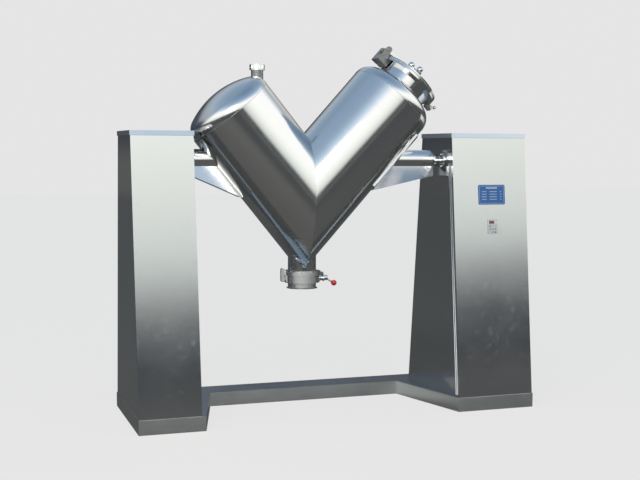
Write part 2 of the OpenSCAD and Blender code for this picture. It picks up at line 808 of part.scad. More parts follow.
// A trunnion in the frame of the shaft's centre line over the meeting of the axes
module trunnion(angle, tube_end) {
    bolt_circle = (shaft_radius + collar_radius) / 2;
    difference() {
        rotate([0, 90, 0]) rotate_extrude() tube_wall_outline(tube_end);
        leg_cut(angle);
    }
    translate([tube_end, 0, 0]) rotate([0, 90, 0]) {
        difference() {
            cylinder(r = collar_radius, h = collar_length);
            translate([0, 0, -overrun]) cylinder(r = shaft_radius + weld_gap, h = collar_length + 2 * overrun);
        }
        for (i = [0 : collar_bolt_count - 1]) rotate(i * 360 / collar_bolt_count)
            translate([bolt_circle, 0, collar_length])
                cylinder(r = collar_bolt, h = collar_bolt_height, $fn = 24);
    }
}

module at_shaft() translate([shell_x, 0, shaft_height]) children();
module right_trunnion() color(polished) at_shaft() trunnion(right_angle, right_tube_end);
module left_trunnion() color(polished) at_shaft() mirror([1, 0, 0]) trunnion(left_angle, left_tube_end);

shaft_end = 24;
module shafts() {
    right_stop = chain_x + sprocket_hub / 2 + overrun;
    left_stop = bearing_x(left_shelf_x) - bearing_width / 2 - shaft_end;
    color(steel) {
        translate([shell_x + right_tube_end - shaft_grip, 0, shaft_height]) rotate([0, 90, 0])
            cylinder(r = shaft_radius, h = right_stop - shell_x - right_tube_end + shaft_grip);
        translate([left_stop, 0, shaft_height]) rotate([0, 90, 0])
            cylinder(r = shaft_radius, h = shell_x - left_tube_end + shaft_grip - left_stop);
    }
}

// A gusset in the shaft's frame: two webs on a sloping floor, closed by an end flange
module gusset(angle, low, tube_end) {
    toe_x = low * sin(angle) + (leg_radius + saddle_sheet) * cos(angle);
    toe_z = -leg_drop + low * cos(angle) - (leg_radius + saddle_sheet) * sin(angle);
    floor_rise = gusset_sheet / cos(atan2(-gusset_depth - toe_z, tube_end - toe_x));
    difference() {
        translate([0, gusset_width / 2, 0]) rotate([90, 0, 0]) union() {
            linear_extrude(gusset_width)
                polygon([
                    [toe_x, toe_z], [tube_end, -gusset_depth],
                    [tube_end, -gusset_depth + floor_rise], [toe_x - gusset_sheet, toe_z + floor_rise]
                ]);
            for (y = [0, gusset_width - gusset_sheet]) translate([0, 0, y])
                linear_extrude(gusset_sheet)
                    polygon([
                        [toe_x, toe_z], [tube_end, -gusset_depth], [tube_end, -tube_radius / 2],
                        [leg_radius, -tube_radius / 2], [leg_radius, toe_z]
                    ]);
            translate([tube_end - gusset_sheet, -gusset_depth, 0])
                linear_extrude(gusset_width) square([gusset_sheet, gusset_depth - tube_radius / 2]);
        }
        leg_cut(angle);
        rotate([0, 90, 0]) cylinder(r = tube_radius + weld_gap, h = tube_end + overrun);
    }
}

module right_gusset() color(polished) at_shaft() gusset(right_angle, right_saddle_low, right_tube_end - overrun);
module left_gusset()
    color(polished) at_shaft() mirror([1, 0, 0]) gusset(left_angle, left_saddle_low, left_tube_end - overrun);

// Manway, drawn in the right leg's frame
neck_bore = neck_radius - neck_wall;
module manway_neck()
    color(polished) on_right() {
        difference() {
            translate([0, 0, right_leg]) cylinder(r = neck_radius, h = rim_top - right_leg);
            translate([0, 0, right_leg - overrun]) cylinder(r = neck_bore, h = rim_top - right_leg + 2 * overrun);
            translate([0, 0, right_leg - crown_drop]) sphere(r = crown + weld_gap);
        }
        difference() {
            translate([0, 0, rim_top - rim_sheet]) cylinder(r = rim_radius, h = rim_sheet);
            translate([0, 0, rim_top - rim_sheet - overrun]) cylinder(r = neck_bore, h = rim_sheet + 2 * overrun);
        }
        latch_lug();
    }

gasket_inset = 6;
module manway_gasket()
    color([0.85, 0.85, 0.82]) on_right() difference() {
        translate([0, 0, rim_top]) cylinder(r = rim_radius - gasket_inset, h = gasket_height - seat_gap);
        translate([0, 0, rim_top - overrun]) cylinder(r = neck_bore, h = gasket_height + 2 * overrun);
    }

lid_low = rim_top + gasket_height;
dome_inset = 26;
dome_radius = rim_radius - dome_inset;
dome_centre = lid_low + lid_edge - sqrt(pow(lid_crown, 2) - pow(dome_radius, 2));
lid_top = dome_centre + lid_crown;
lid_sheet = 5;
boss_radius = 24;
boss_height = 7;
screw_seat = lid_top + boss_height;
lift_turns = 3;
lift = screw_pitch * lift_turns;
bar_low = screw_seat + lift + 2 * moving_gap;
bar_top = bar_low + bar_height;

module manway_lid()
    color(polished) on_right() difference() {
        union() {
            rotate_extrude() {
                translate([dome_radius - lid_sheet, lid_low]) square([dome_inset + lid_sheet, lid_edge]);
                intersection() {
                    translate([0, dome_centre]) difference() {
                        circle(r = lid_crown, $fn = 360);
                        circle(r = lid_crown - lid_sheet, $fn = 360);
                    }
                    translate([0, lid_low]) square([dome_radius - weld_gap, lid_top]);
                }
            }
            translate([0, 0, lid_top - lid_sheet]) cylinder(r = boss_radius, h = boss_height + lid_sheet);
        }
        translate([0, 0, lid_top + moving_gap]) cylinder(r = screw_radius + run_fit, h = boss_height + overrun);
    }

// Hinge side: two ears on the neck and the rim, and the pin between them
hinge_out = 17.5;
hinge_up = 32;
hinge_place = -(rim_radius + hinge_out);
hinge_height = rim_top + hinge_up;
hinge_knuckle = 13;
hinge_pin = 6;
ear_radius = 17;
ear_sheet = 10;
ear_heel = 46;
ear_toe = 34;

module ear_block()
    difference() {
        translate([hinge_place + ear_radius + seat_gap, -ear_spacing / 2, rim_top - ear_heel])
            cube([rim_radius - neck_radius, ear_spacing, ear_heel - rim_sheet - weld_gap]);
        translate([0, 0, rim_top - ear_heel - overrun])
            cylinder(r = neck_radius + weld_gap, h = ear_heel + overrun);
    }

module hinge_bracket()
    color(cast_grey) on_right() {
        difference() {
            union() {
                for (y = [-ear_spacing / 2, ear_spacing / 2])
                    translate([0, y + ear_sheet / 2, 0]) rotate([90, 0, 0]) linear_extrude(ear_sheet) {
                        translate([hinge_place, hinge_height]) circle(r = ear_radius);
                        translate([hinge_place - ear_radius, rim_top - ear_heel])
                            square([2 * ear_radius, hinge_height - rim_top + ear_heel]);
                    }
                translate([hinge_place - ear_radius, -ear_spacing / 2, rim_top - ear_heel])
                    cube([ear_toe, ear_spacing, ear_heel - rim_sheet]);
            }
            translate([0, 0, rim_top - rim_sheet - weld_gap])
                cylinder(r = rim_radius + moving_gap, h = hinge_height);
            translate([0, 0, rim_top - ear_heel - overrun])
                cylinder(r = neck_radius + weld_gap, h = ear_heel + overrun);
        }
        ear_block();
        translate([hinge_place, ear_spacing / 2 + ear_sheet / 2 + overrun, hinge_height])
            rotate([90, 0, 0]) cylinder(r = hinge_pin, h = ear_spacing + ear_sheet + 2 * overrun);
    }

// Latch side: a lug under the rim carries a swing bolt that drops into the bar's fork
latch_out = 18;
latch_drop = 16;
latch_place = rim_radius + latch_out;
latch_height = rim_top - rim_sheet - latch_drop;
latch_pin = 4;
latch_rod = 5;
latch_eye = 8;
latch_length = 42;
latch_knob_radius = 9;
latch_knob_height = 11;
latch_rest = 34;
fork_half = latch_rod + moving_gap;
lug_sheet = 6;
lug_radius = 9;
lug_root = 14;

module latch_lug() {
    for (y = [-fork_half, fork_half + lug_sheet]) translate([0, y, 0])
        rotate([90, 0, 0]) linear_extrude(lug_sheet) {
            translate([latch_place, latch_height]) circle(r = lug_radius);
            polygon([
                [rim_radius - lug_root, rim_top - rim_sheet + seat_gap],
                [rim_radius - lug_root, latch_height - lug_radius / 2],
                [latch_place, latch_height - lug_radius], [latch_place, latch_height + lug_radius],
                [rim_radius - weld_gap, rim_top - rim_sheet + seat_gap]
            ]);
        }
    translate([latch_place, fork_half + lug_sheet, latch_height])
        rotate([90, 0, 0]) cylinder(r = latch_pin, h = 2 * (fork_half + lug_sheet));
}

module latch_bolt()
    color(steel) on_right() translate([latch_place, 0, latch_height]) rotate([0, latch_rest, 0]) {
        difference() {
            union() {
                translate([0, latch_rod, 0]) rotate([90, 0, 0]) cylinder(r = latch_eye, h = 2 * latch_rod);
                cylinder(r = latch_rod, h = latch_length - moving_gap);
            }
            translate([0, latch_eye, 0]) rotate([90, 0, 0]) cylinder(r = latch_pin + run_fit, h = 2 * latch_eye);
        }
        translate([0, 0, latch_length - latch_knob_height])
            cylinder(r = latch_knob_radius, h = latch_knob_height);
    }

// The bar: a knuckle on the hinge pin, an arm over the lid, a threaded boss and a fork that drops past the lid
fork_top = lid_low + lid_edge + lift + 2 * moving_gap;
fork_drop = 9;
fork_low = rim_top - fork_drop;
fork_sheet = 10;
fork_wall = 6;
fork_face = rim_radius + 2 * moving_gap + fork_wall;
bar_boss = 18;
slope_share = 0.62;

module cross_bar()
    color(polished) on_right() difference() {
        union() {
            translate([0, bar_width / 2, 0]) rotate([90, 0, 0]) linear_extrude(bar_width)
                polygon([
                    [hinge_place, hinge_height - hinge_knuckle * slope_share],
                    [-rim_radius * slope_share, bar_low], [rim_radius * slope_share, bar_low],
                    [rim_radius + 2 * moving_gap, fork_top], [rim_radius + 2 * moving_gap, fork_low],
                    [latch_place + latch_rod, fork_low], [latch_place + latch_rod, fork_low + fork_sheet],
                    [rim_radius + 2 * moving_gap + fork_wall, fork_low + fork_sheet],
                    [rim_radius + 2 * moving_gap + fork_wall, fork_top + fork_wall],
                    [rim_radius * slope_share + bar_height, bar_top],
                    [-rim_radius * slope_share - bar_height / 2, bar_top],
                    [hinge_place, hinge_height + hinge_knuckle]
                ]);
            translate([hinge_place, bar_width / 2, hinge_height])
                rotate([90, 0, 0]) cylinder(r = hinge_knuckle, h = bar_width);
            translate([0, 0, bar_low]) cylinder(r = bar_boss, h = bar_height + moving_gap);
        }
        translate([0, 0, bar_low - overrun]) cylinder(r = screw_radius + run_fit, h = bar_height + 2 * overrun);
        translate([hinge_place, bar_width, hinge_height])
            rotate([90, 0, 0]) cylinder(r = hinge_pin + run_fit, h = 2 * bar_width);
        translate([fork_face, -bar_width, fork_low - overrun])
            cube([weld_gap, 2 * bar_width, fork_sheet + 2 * overrun]);
        translate([fork_face, -fork_half, fork_low - overrun])
            cube([4 * latch_rod, 2 * fork_half, fork_sheet + 2 * overrun]);
    }

nut_gap = 2;
nut_hub = 15;
nut_hub_height = 22;
nut_arm = 5;
nut_arm_height = 13;
nut_ball_height = 28;
nut_arms = 3;
nut_turn = 40;
module hand_nut() {
    rise = nut_ball_height - nut_arm_height;
    color(polished) on_right() {
        translate([0, 0, lid_top + 2 * moving_gap])
            cylinder(r = screw_radius, h = bar_top + nut_gap + overrun - lid_top - 2 * moving_gap);
        translate([0, 0, bar_top + nut_gap]) {
            cylinder(r = nut_hub, h = nut_hub_height);
            for (i = [0 : nut_arms - 1]) rotate(nut_turn - i * 360 / nut_arms) {
                translate([0, 0, nut_arm_height]) rotate([0, 90 - atan(rise / nut_reach), 0])
                    cylinder(r = nut_arm, h = nut_reach);
                translate([nut_reach, 0, nut_ball_height]) sphere(r = nut_ball);
            }
        }
    }
}

// Charging port on the left leg, drawn in the shell's frame
thread_radius = port_radius + 2;
slot_depth = 3;
slot_share = 0.33;
port_slots = 12;
blank_height = 4;
nut_wall = 3;
thread_length = 14;
thread_pitch = 4.2;
port_turns = 3;
port_lift = thread_pitch * port_turns;
port_root = left_leg * cos(left_angle) + (leg_radius - knuckle) * sin(left_angle);
port_height = port_root + port_rise;
ferrule_top = port_height + ring_height - nut_wall - blank_height - moving_gap;

module port_ferrule()
    color(polished) difference() {
        at_shell() translate([-port_offset, 0, 0]) {
            translate([0, 0, port_root]) cylinder(r = port_radius, h = ferrule_top - port_root);
            translate([0, 0, ferrule_top - thread_length]) cylinder(r = thread_radius, h = thread_length);
        }
        at_shell() translate([-port_offset, 0, port_root - overrun])
            cylinder(r = port_radius - port_wall, h = ferrule_top);
        on_left() translate([0, 0, left_leg]) rotate_extrude()
            translate([leg_radius - knuckle, 0]) circle(r = knuckle + weld_gap);
    }

module port_blank()
    color(polished) at_shell() translate([-port_offset, 0, ferrule_top + seat_gap])
        cylinder(r = thread_radius, h = blank_height);

module ring_nut()
    color(polished) at_shell() translate([-port_offset, 0, port_height]) difference() {
        cylinder(r = ring_radius, h = ring_height);
        translate([0, 0, -overrun]) cylinder(r = thread_radius + run_fit, h = ring_height + overrun - nut_wall);
        cylinder(r = port_radius - port_wall, h = ring_height + overrun);
        for (i = [0 : port_slots - 1]) rotate(i * 360 / port_slots)
            translate([ring_radius - slot_depth, -slot_depth, ring_height * slot_share])
                cube([2 * slot_depth, 2 * slot_depth, ring_height / 2]);
    }

// Discharge, drawn in the shell's frame with its axis down through the meeting of the axes
stem_z = leg_drop - stem_drop;
valve_top = stem_z + valve_height / 2;
ferrule_gap = 2;
valve_collar = 5;
joint_z = valve_top + valve_collar + ferrule_sheet;
neck_low = joint_z + ferrule_gap;

module ferrule(z, up)
    translate([0, 0, z]) mirror([0, 0, up ? 0 : 1]) rotate_extrude()
        polygon([
            [outlet_bore, 0], [ferrule_radius, 0], [ferrule_radius, ferrule_sheet / 2],
            [outlet_radius, ferrule_sheet], [outlet_bore, ferrule_sheet]
        ]);

// The space that one leg fills, a little larger, up to the mitre plane
module leg_core(angle, lean, length)
    intersection() {
        rotate([0, angle, 0]) translate([0, 0, -leg_tail])
            cylinder(r = leg_radius + weld_gap, h = leg_tail + length);
        rotate([0, lean, 0]) translate([-overrun, -leg_radius - 2 * overrun, -leg_tail])
            cube([leg_tail + length, 2 * (leg_radius + 2 * overrun), 2 * leg_tail + length]);
    }

module discharge_neck()
    color(polished) at_shell() {
        difference() {
            translate([0, 0, neck_low]) cylinder(r = outlet_radius, h = -neck_low);
            translate([0, 0, neck_low - overrun]) cylinder(r = outlet_bore, h = -neck_low + 2 * overrun);
            leg_core(right_angle, mitre_lean, right_leg);
            mirror([1, 0, 0]) leg_core(left_angle, -mitre_lean, left_leg);
        }
        ferrule(neck_low, true);
        color([0.85, 0.85, 0.82]) translate([0, 0, joint_z + seat_gap]) difference() {
            cylinder(r = outlet_radius, h = ferrule_gap - seat_gap);
            translate([0, 0, -overrun]) cylinder(r = outlet_bore, h = ferrule_gap + 2 * overrun);
        }
    }

clamp_wall = 18;
clamp_radius = ferrule_radius + clamp_wall;
clamp_lug = 18;
clamp_lug_height = 56;
clamp_lug_drop = 10;
clamp_bolt = 5;
wing_radius = 9;
wing_span = 34;
wing_height = 24;
wing_sheet = 5;
wing_turn = 60;
screw_turn = 60;
clamp_middle = joint_z + ferrule_gap / 2;

module discharge_clamp() {
    low = clamp_middle - clamp_height / 2;
    lug_low = clamp_middle - clamp_lug_drop - clamp_lug_height / 2;
    screw_x = clamp_radius + clamp_lug / 2;
    color(polished) at_shell() {
        difference() {
            union() {
                translate([0, 0, low]) cylinder(r = clamp_radius, h = clamp_height);
                translate([-clamp_radius - clamp_lug, -clamp_lug / 2, lug_low])
                    cube([clamp_lug + clamp_wall / 2, clamp_lug, clamp_lug_height]);
                for (z = [lug_low, lug_low + clamp_lug_height])
                    translate([-clamp_radius - clamp_lug / 2, clamp_lug / 2, z])
                        rotate([90, 0, 0]) cylinder(r = clamp_lug / 2, h = clamp_lug);
                rotate(screw_turn) translate([clamp_radius - clamp_wall / 2, -clamp_lug, low])
                    cube([clamp_lug, 2 * clamp_lug, clamp_height]);
            }
            translate([0, 0, lug_low]) cylinder(r = ferrule_radius + weld_gap, h = 2 * clamp_lug_height);
            translate([0, 0, lug_low - clamp_lug])
                cylinder(r = valve_radius + moving_gap, h = low - lug_low + clamp_lug - seat_gap);
        }
        rotate(screw_turn) translate([screw_x, clamp_lug + overrun, clamp_middle]) rotate([90, 0, 0])
            cylinder(r = clamp_bolt, h = 2 * clamp_lug + wing_height + 2 * overrun);
        rotate(screw_turn) translate([screw_x, -clamp_lug - moving_gap, clamp_middle]) rotate([90, 0, 0]) {
            cylinder(r = wing_radius, h = wing_height / 2);
            rotate(wing_turn) translate([-wing_span / 2, -wing_sheet / 2, 0]) cube([wing_span, wing_sheet, wing_height]);
        }
    }
}

valve_low = stem_z - valve_height / 2;
spout_length = 32;
outlet_z = valve_low - spout_length;
seat_wall = 6;
stem_boss = 15;
stem_boss_length = 22;
index_radius = 34;
index_sheet = 4;
index_x = valve_radius + stem_boss_length;

module valve_body()
    color(polished) at_shell() {
        difference() {
            union() {
                translate([0, 0, valve_low]) cylinder(r = valve_radius, h = valve_height);
                translate([0, 0, stem_z]) cylinder(r = outlet_radius, h = joint_z - ferrule_sheet / 2 - stem_z);
                translate([0, 0, outlet_z]) cylinder(r = outlet_radius, h = spout_length + overrun);
                translate([0, 0, stem_z]) rotate([0, 90, 0]) cylinder(r = stem_boss, h = index_x);
                translate([index_x - index_sheet, 0, stem_z]) rotate([90, 0, 90]) linear_extrude(index_sheet)
                    intersection() {
                        circle(r = index_radius);
                        translate([-index_radius, -stem_boss]) square([2 * index_radius, 2 * index_radius]);
                    }
            }
            translate([0, 0, outlet_z - overrun]) cylinder(r = outlet_bore, h = joint_z - outlet_z + 2 * overrun);
            translate([0, 0, stem_z]) rotate([0, 90, 0])
                cylinder(r = stem_radius + run_fit, h = 2 * index_x);
            translate([0, 0, stem_z]) rotate([0, -90, 0])
                cylinder(r = stem_radius + run_fit, h = valve_radius - seat_wall);
        }
        ferrule(joint_z, false);
        ferrule(outlet_z, true);
    }

disc_sheet = 9;
disc_hub = 13;
module valve_disc()
    color(polished) at_shell() translate([0, 0, stem_z]) {
        cylinder(r = outlet_bore - moving_gap, h = disc_sheet, center = true);
        translate([-outlet_bore + 2 * disc_hub, 0, 0])
            rotate([0, 90, 0]) cylinder(r = disc_hub, h = 2 * outlet_bore - 4 * disc_hub);
        translate([-valve_radius + seat_wall + moving_gap, 0, 0])
            rotate([0, 90, 0]) cylinder(r = stem_radius, h = valve_radius - seat_wall - moving_gap + index_x + lever_hub_length / 2);
    }

lever_hub = 14;
lever_hub_length = 26;
lever_rod = 4.5;
lever_splay = 60;
module valve_lever()
    color(polished) at_shell() translate([index_x + seat_gap, 0, stem_z]) {
        difference() {
            union() {
                rotate([0, 90, 0]) cylinder(r = lever_hub, h = lever_hub_length);
                translate([lever_hub_length / 2, 0, 0]) rotate([0, 180 - lever_splay, 0])
                    cylinder(r = lever_rod, h = lever_length);
            }
            translate([-overrun, 0, 0]) rotate([0, 90, 0])
                cylinder(r = stem_radius + weld_gap, h = lever_hub_length + overrun);
        }
        translate([lever_hub_length / 2, 0, 0]) rotate([0, 180 - lever_splay, 0])
            color([0.8, 0.1, 0.1]) translate([0, 0, lever_length]) sphere(r = ball_radius);
    }

left_foot();
right_foot();
rear_beam();
left_frame();
left_front_panel();
left_back_panel();
left_outer_panel();
left_inner_panel_top();
left_inner_panel_bottom();
left_cap();
right_frame();
right_front_panel();
right_back_panel();
right_outer_panel();
right_inner_panel_top();
right_inner_panel_bottom();
right_cap();
left_bearing();
right_bearing();
drive_shelf();
gear_reducer();
drive_motor();
drive_chain();
rating_plate();
control_unit();
display_window();
key_1();
key_2();
key_3();
key_4();
key_5();
key_6();
left_leg();
right_leg();
left_head();
right_head();
left_saddle();
right_saddle();
left_gusset();
right_gusset();
left_trunnion();
right_trunnion();
shafts();
big_sprocket();
manway_neck();
manway_gasket();
hinge_bracket();
cross_bar();
manway_lid();
hand_nut();
latch_bolt();
port_ferrule();
port_blank();
ring_nut();
discharge_neck();
discharge_clamp();
valve_body();
valve_disc();
valve_lever();
small_sprocket();
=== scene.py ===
"""Looks, small fittings and studio for the V mixer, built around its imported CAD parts."""

import json
import math

import bmesh
import bpy
from mathutils import Matrix, Vector


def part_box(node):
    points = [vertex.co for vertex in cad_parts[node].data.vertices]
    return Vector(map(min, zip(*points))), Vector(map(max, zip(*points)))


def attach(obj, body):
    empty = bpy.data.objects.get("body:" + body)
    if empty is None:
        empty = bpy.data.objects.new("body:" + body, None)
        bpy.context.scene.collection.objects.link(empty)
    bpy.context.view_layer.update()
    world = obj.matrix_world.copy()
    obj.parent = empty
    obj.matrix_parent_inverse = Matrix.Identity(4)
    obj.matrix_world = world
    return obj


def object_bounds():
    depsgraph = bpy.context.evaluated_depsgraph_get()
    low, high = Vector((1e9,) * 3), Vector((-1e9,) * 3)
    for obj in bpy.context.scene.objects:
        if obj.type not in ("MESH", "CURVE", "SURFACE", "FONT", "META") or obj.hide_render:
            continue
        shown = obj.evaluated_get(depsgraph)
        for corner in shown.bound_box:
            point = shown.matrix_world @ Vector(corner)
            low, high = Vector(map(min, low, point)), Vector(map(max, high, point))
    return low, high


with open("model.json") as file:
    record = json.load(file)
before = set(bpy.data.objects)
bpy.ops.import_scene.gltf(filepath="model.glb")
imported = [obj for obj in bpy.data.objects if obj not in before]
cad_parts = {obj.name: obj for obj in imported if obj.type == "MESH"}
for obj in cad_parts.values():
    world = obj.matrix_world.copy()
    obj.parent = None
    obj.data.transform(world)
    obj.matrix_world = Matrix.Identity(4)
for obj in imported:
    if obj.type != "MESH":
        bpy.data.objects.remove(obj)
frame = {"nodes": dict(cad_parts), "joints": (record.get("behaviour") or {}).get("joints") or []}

CAD_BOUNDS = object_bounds()

bl_info = {
    "name": "V mixer looks",
    "version": (1, 0, 0),
    "blender": (4, 5, 0),
    "location": "3D View > Sidebar > Mixer",
    "description": "Finishes, small fittings and studio for a stainless V mixer",
    "category": "Object",
}

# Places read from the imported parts


def low(node):
    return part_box(node)[0]


def high(node):
    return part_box(node)[1]


def middle(node):
    return (low(node) + high(node)) / 2


def joint(name):
    return next(j for j in frame["joints"] if j["name"] == name)


# The legs meet at MEETING and lean away from it along RIGHT_UP and LEFT_UP; lengths are in metres
SHAFT = Vector(joint("shell_rotation")["pos_m"])
NUT = Vector(joint("nut_turn")["pos_m"])
RIGHT_UP = Vector(joint("lid_lift")["axis"])
RIGHT_OUT = Vector((RIGHT_UP.z, 0, -RIGHT_UP.x))
MEETING = NUT - RIGHT_UP * ((NUT.x - SHAFT.x) / RIGHT_UP.x)
LEFT_LEAN = math.radians(39.2)
LEFT_UP = Vector((-math.sin(LEFT_LEAN), 0, math.cos(LEFT_LEAN)))
LEG_RADIUS = 0.239
RIGHT_LEG_LENGTH = 0.741
LEFT_LEG_LENGTH = 0.630
NECK_RADIUS = 0.150
NECK_ROOT = 0.8287
OUTLET_RADIUS = 0.0765
OUTLET_WELD_HEIGHT = 0.0072
SEAM_DEPTH = 0.285

# Shader maths


class Value:
    """A shader socket that adds Math nodes when it is used in an expression."""

    def __init__(self, shade, socket):
        self.shade = shade
        self.socket = socket

    def _math(self, operation, a, b=None):
        return self.shade.node(
            "ShaderNodeMath", {"operation": operation}, {0: a} if b is None else {0: a, 1: b}
        )

    def __add__(self, other):
        return self._math("ADD", self, other)

    __radd__ = __add__

    def __mul__(self, other):
        return self._math("MULTIPLY", self, other)

    __rmul__ = __mul__

    def __sub__(self, other):
        return self._math("SUBTRACT", self, other)

    def __rsub__(self, other):
        return self._math("SUBTRACT", other, self)

    def __truediv__(self, other):
        return self._math("DIVIDE", self, other)

    def __gt__(self, other):
        return self._math("GREATER_THAN", self, other)

    def __lt__(self, other):
        return self._math("LESS_THAN", self, other)

    def __abs__(self):
        return self._math("ABSOLUTE", self)

    def clamped(self, start, end):
        """0 at start, 1 at end and straight between them."""
        return self.shade.node(
            "ShaderNodeMapRange", {"clamp": True}, {"Value": self, "From Min": start, "From Max": end}
        )


class Shade:
    """A node tree of a material or world under construction."""

    def __init__(self, tree):
        self.tree = tree
        tree.nodes.clear()

    def node(self, kind, settings=None, values=None, output=0):
        """Adds a node, its settings first, then the values or links of its sockets."""
        made = self.tree.nodes.new(kind)
        for key, value in (settings or {}).items():
            if key == "stops":
                ramp = made.color_ramp
                while len(ramp.elements) < len(value):
                    ramp.elements.new(0.5)
                for element, (place, colour) in zip(ramp.elements, value):
                    element.position = place
                    element.color = (*colour, 1)
            else:
                setattr(made, key, value)
        for key, value in (values or {}).items():
            socket = made.inputs[key]
            if isinstance(value, Value):
                self.tree.links.new(value.socket, socket)
            else:
                socket.default_value = value
        return Value(self, made.outputs[output])

    def place(self):
        return self.node("ShaderNodeTexCoord", output="Object")

    def axes(self, vector):
        return [self.node("ShaderNodeSeparateXYZ", {}, {0: vector}, output=i) for i in range(3)]

    def stretched(self, turn, scale):
        """Object coordinates turned about Y, then scaled by axis, for grain that follows a direction."""
        turned = self.node(
            "ShaderNodeVectorRotate", {"rotation_type": "Y_AXIS"}, {"Vector": self.place(), "Angle": turn}
        )
        return self.node("ShaderNodeVectorMath", {"operation": "MULTIPLY"}, {0: turned, 1: scale})

    def noise(self, vector, scale, detail=2.0, roughness=0.5):
        return self.node(
            "ShaderNodeTexNoise",
            {"noise_dimensions": "3D"},
            {"Vector": vector, "Scale": scale, "Detail": detail, "Roughness": roughness},
        )

    def mix(self, factor, a, b):
        made = self.tree.nodes.new("ShaderNodeMix")
        made.data_type = "RGBA"
        for key, value in (("Factor_Float", factor), ("A_Color", a), ("B_Color", b)):
            socket = next(s for s in made.inputs if s.identifier == key)
            if isinstance(value, Value):
                self.tree.links.new(value.socket, socket)
            else:
                socket.default_value = (*value, 1) if key != "Factor_Float" else value
        return Value(self, next(s for s in made.outputs if s.identifier == "Result_Color"))

    def leant(self, lean):
        """The surface's normal, tipped upwards by this much."""
        normal = self.node("ShaderNodeNewGeometry", output="Normal")
        tipped = self.node("ShaderNodeVectorMath", {"operation": "ADD"}, {0: normal, 1: (0, 0, lean)})
        return self.node("ShaderNodeVectorMath", {"operation": "NORMALIZE"}, {0: tipped})

    def bump(self, height, strength, distance, normal=None):
        values = {"Height": height, "Strength": strength, "Distance": distance}
        if normal is not None:
            values["Normal"] = normal
        return self.node("ShaderNodeBump", {}, values)

    def link(self, value, socket):
        self.tree.links.new(value.socket, socket)


def material(name, build):
    """A material whose surface build(shade) returns as the values of a Principled shader."""
    made = bpy.data.materials.new(name)
    made.use_nodes = True
    shade = Shade(made.node_tree)
    values = build(shade)
    for key in ("Base Color", "Emission Color"):
        if key in values and not isinstance(values[key], Value):
            values[key] = (*values[key], 1)
    surface = shade.node("ShaderNodeBsdfPrincipled", {}, values)
    out = shade.tree.nodes.new("ShaderNodeOutputMaterial")
    shade.link(surface, out.inputs["Surface"])
    return made


def brushed(colour, rough, turn, scale, depth=0.35, smudge=0.06, lean=0.0):
    """Stainless steel with fine grain one way, faint clouds and marks; lean rolls its faces to the sky."""

    def build(s):
        where = s.stretched(turn, scale)
        grain = s.noise(where, 1.0, 3.0, 0.6)
        fine = s.noise(where, 3.1, 2.0, 0.6)
        cloud = s.noise(s.place(), 5.0, 3.0, 0.5)
        marks = s.noise(s.place(), 23.0, 4.0, 0.65).clamped(0.56, 0.72)
        tone = (grain - 0.5) * 0.10 + (cloud - 0.5) * 0.12
        dark = shaded(colour, 0.80)
        pale = tuple(min(c, 1) for c in shaded(colour, 1.10))
        return {
            "Base Color": s.mix(tone + 0.55, dark, pale),
            "Metallic": 1.0,
            "Roughness": rough + (grain - 0.5) * 0.10 + (cloud - 0.5) * smudge + marks * 0.04,
            "Normal": s.bump(grain * 0.6 + fine * 0.4, depth, 0.0002, s.leant(lean)),
        }

    return build


def polished(colour, rough, turn):
    """Sheet steel polished to a soft mirror, with rings of polish round the leg and slight waviness."""

    def build(s):
        rings = s.noise(s.stretched(turn, (4, 4, 260)), 1.0, 3.0, 0.65)
        lines = s.noise(s.stretched(turn, (55, 55, 2.2)), 1.0, 2.0, 0.5)
        wave = s.noise(s.place(), 3.2, 1.0, 0.4)
        haze = s.noise(s.place(), 9.0, 4.0, 0.6)
        dark = shaded(colour, 0.86)
        pale = tuple(min(c, 1) for c in shaded(colour, 1.08))
        return {
            "Base Color": s.mix((rings - 0.5) * 0.5 + 0.5, dark, pale),
            "Metallic": 1.0,
            "Roughness": rough + (rings - 0.5) * 0.05 + (haze - 0.5) * 0.08 + (lines - 0.5) * 0.03,
            "Normal": s.bump(wave * 6 + rings * 0.25 + lines * 0.3, 0.22, 0.0006),
        }

    return build


def painted(colour, rough):
    """Sprayed paint with an orange-peel skin."""

    def build(s):
        cloud = s.noise(s.place(), 14.0, 3.0, 0.5)
        skin = s.noise(s.place(), 700.0, 1.0, 0.5)
        dark = shaded(colour, 0.82)
        return {
            "Base Color": s.mix(cloud.clamped(0.3, 0.7), dark, colour),
            "Metallic": 0.0,
            "Roughness": rough + (cloud - 0.5) * 0.12,
            "Normal": s.bump(skin, 0.25, 0.0002),
        }

    return build


def cast(colour, rough, metallic):
    """A coarse cast skin with stains."""

    def build(s):
        coarse = s.noise(s.place(), 260.0, 4.0, 0.7)
        stain = s.noise(s.place(), 12.0, 4.0, 0.6)
        dark = shaded(colour, 0.6)
        return {
            "Base Color": s.mix(stain.clamped(0.35, 0.7), dark, colour),
            "Metallic": metallic,
            "Roughness": rough + (stain - 0.5) * 0.2,
            "Normal": s.bump(coarse, 0.5, 0.0006),
        }

    return build


def plain(colour, rough, metallic=0.0):
    """An even surface with faint clouds."""

    def build(s):
        cloud = s.noise(s.place(), 40.0, 2.0, 0.5)
        return {
            "Base Color": s.mix(cloud.clamped(0.2, 0.8), shaded(colour, 0.93), colour),
            "Metallic": metallic,
            "Roughness": rough + (cloud - 0.5) * 0.06,
        }

    return build


def shaded(colour, share):
    return tuple(c * share for c in colour)


def paint(made, *nodes):
    """Gives CAD nodes their material."""
    for node in nodes:
        obj = frame["nodes"][node]
        obj.data.materials.clear()
        obj.data.materials.append(made)


# Sizes and colours that a user can change


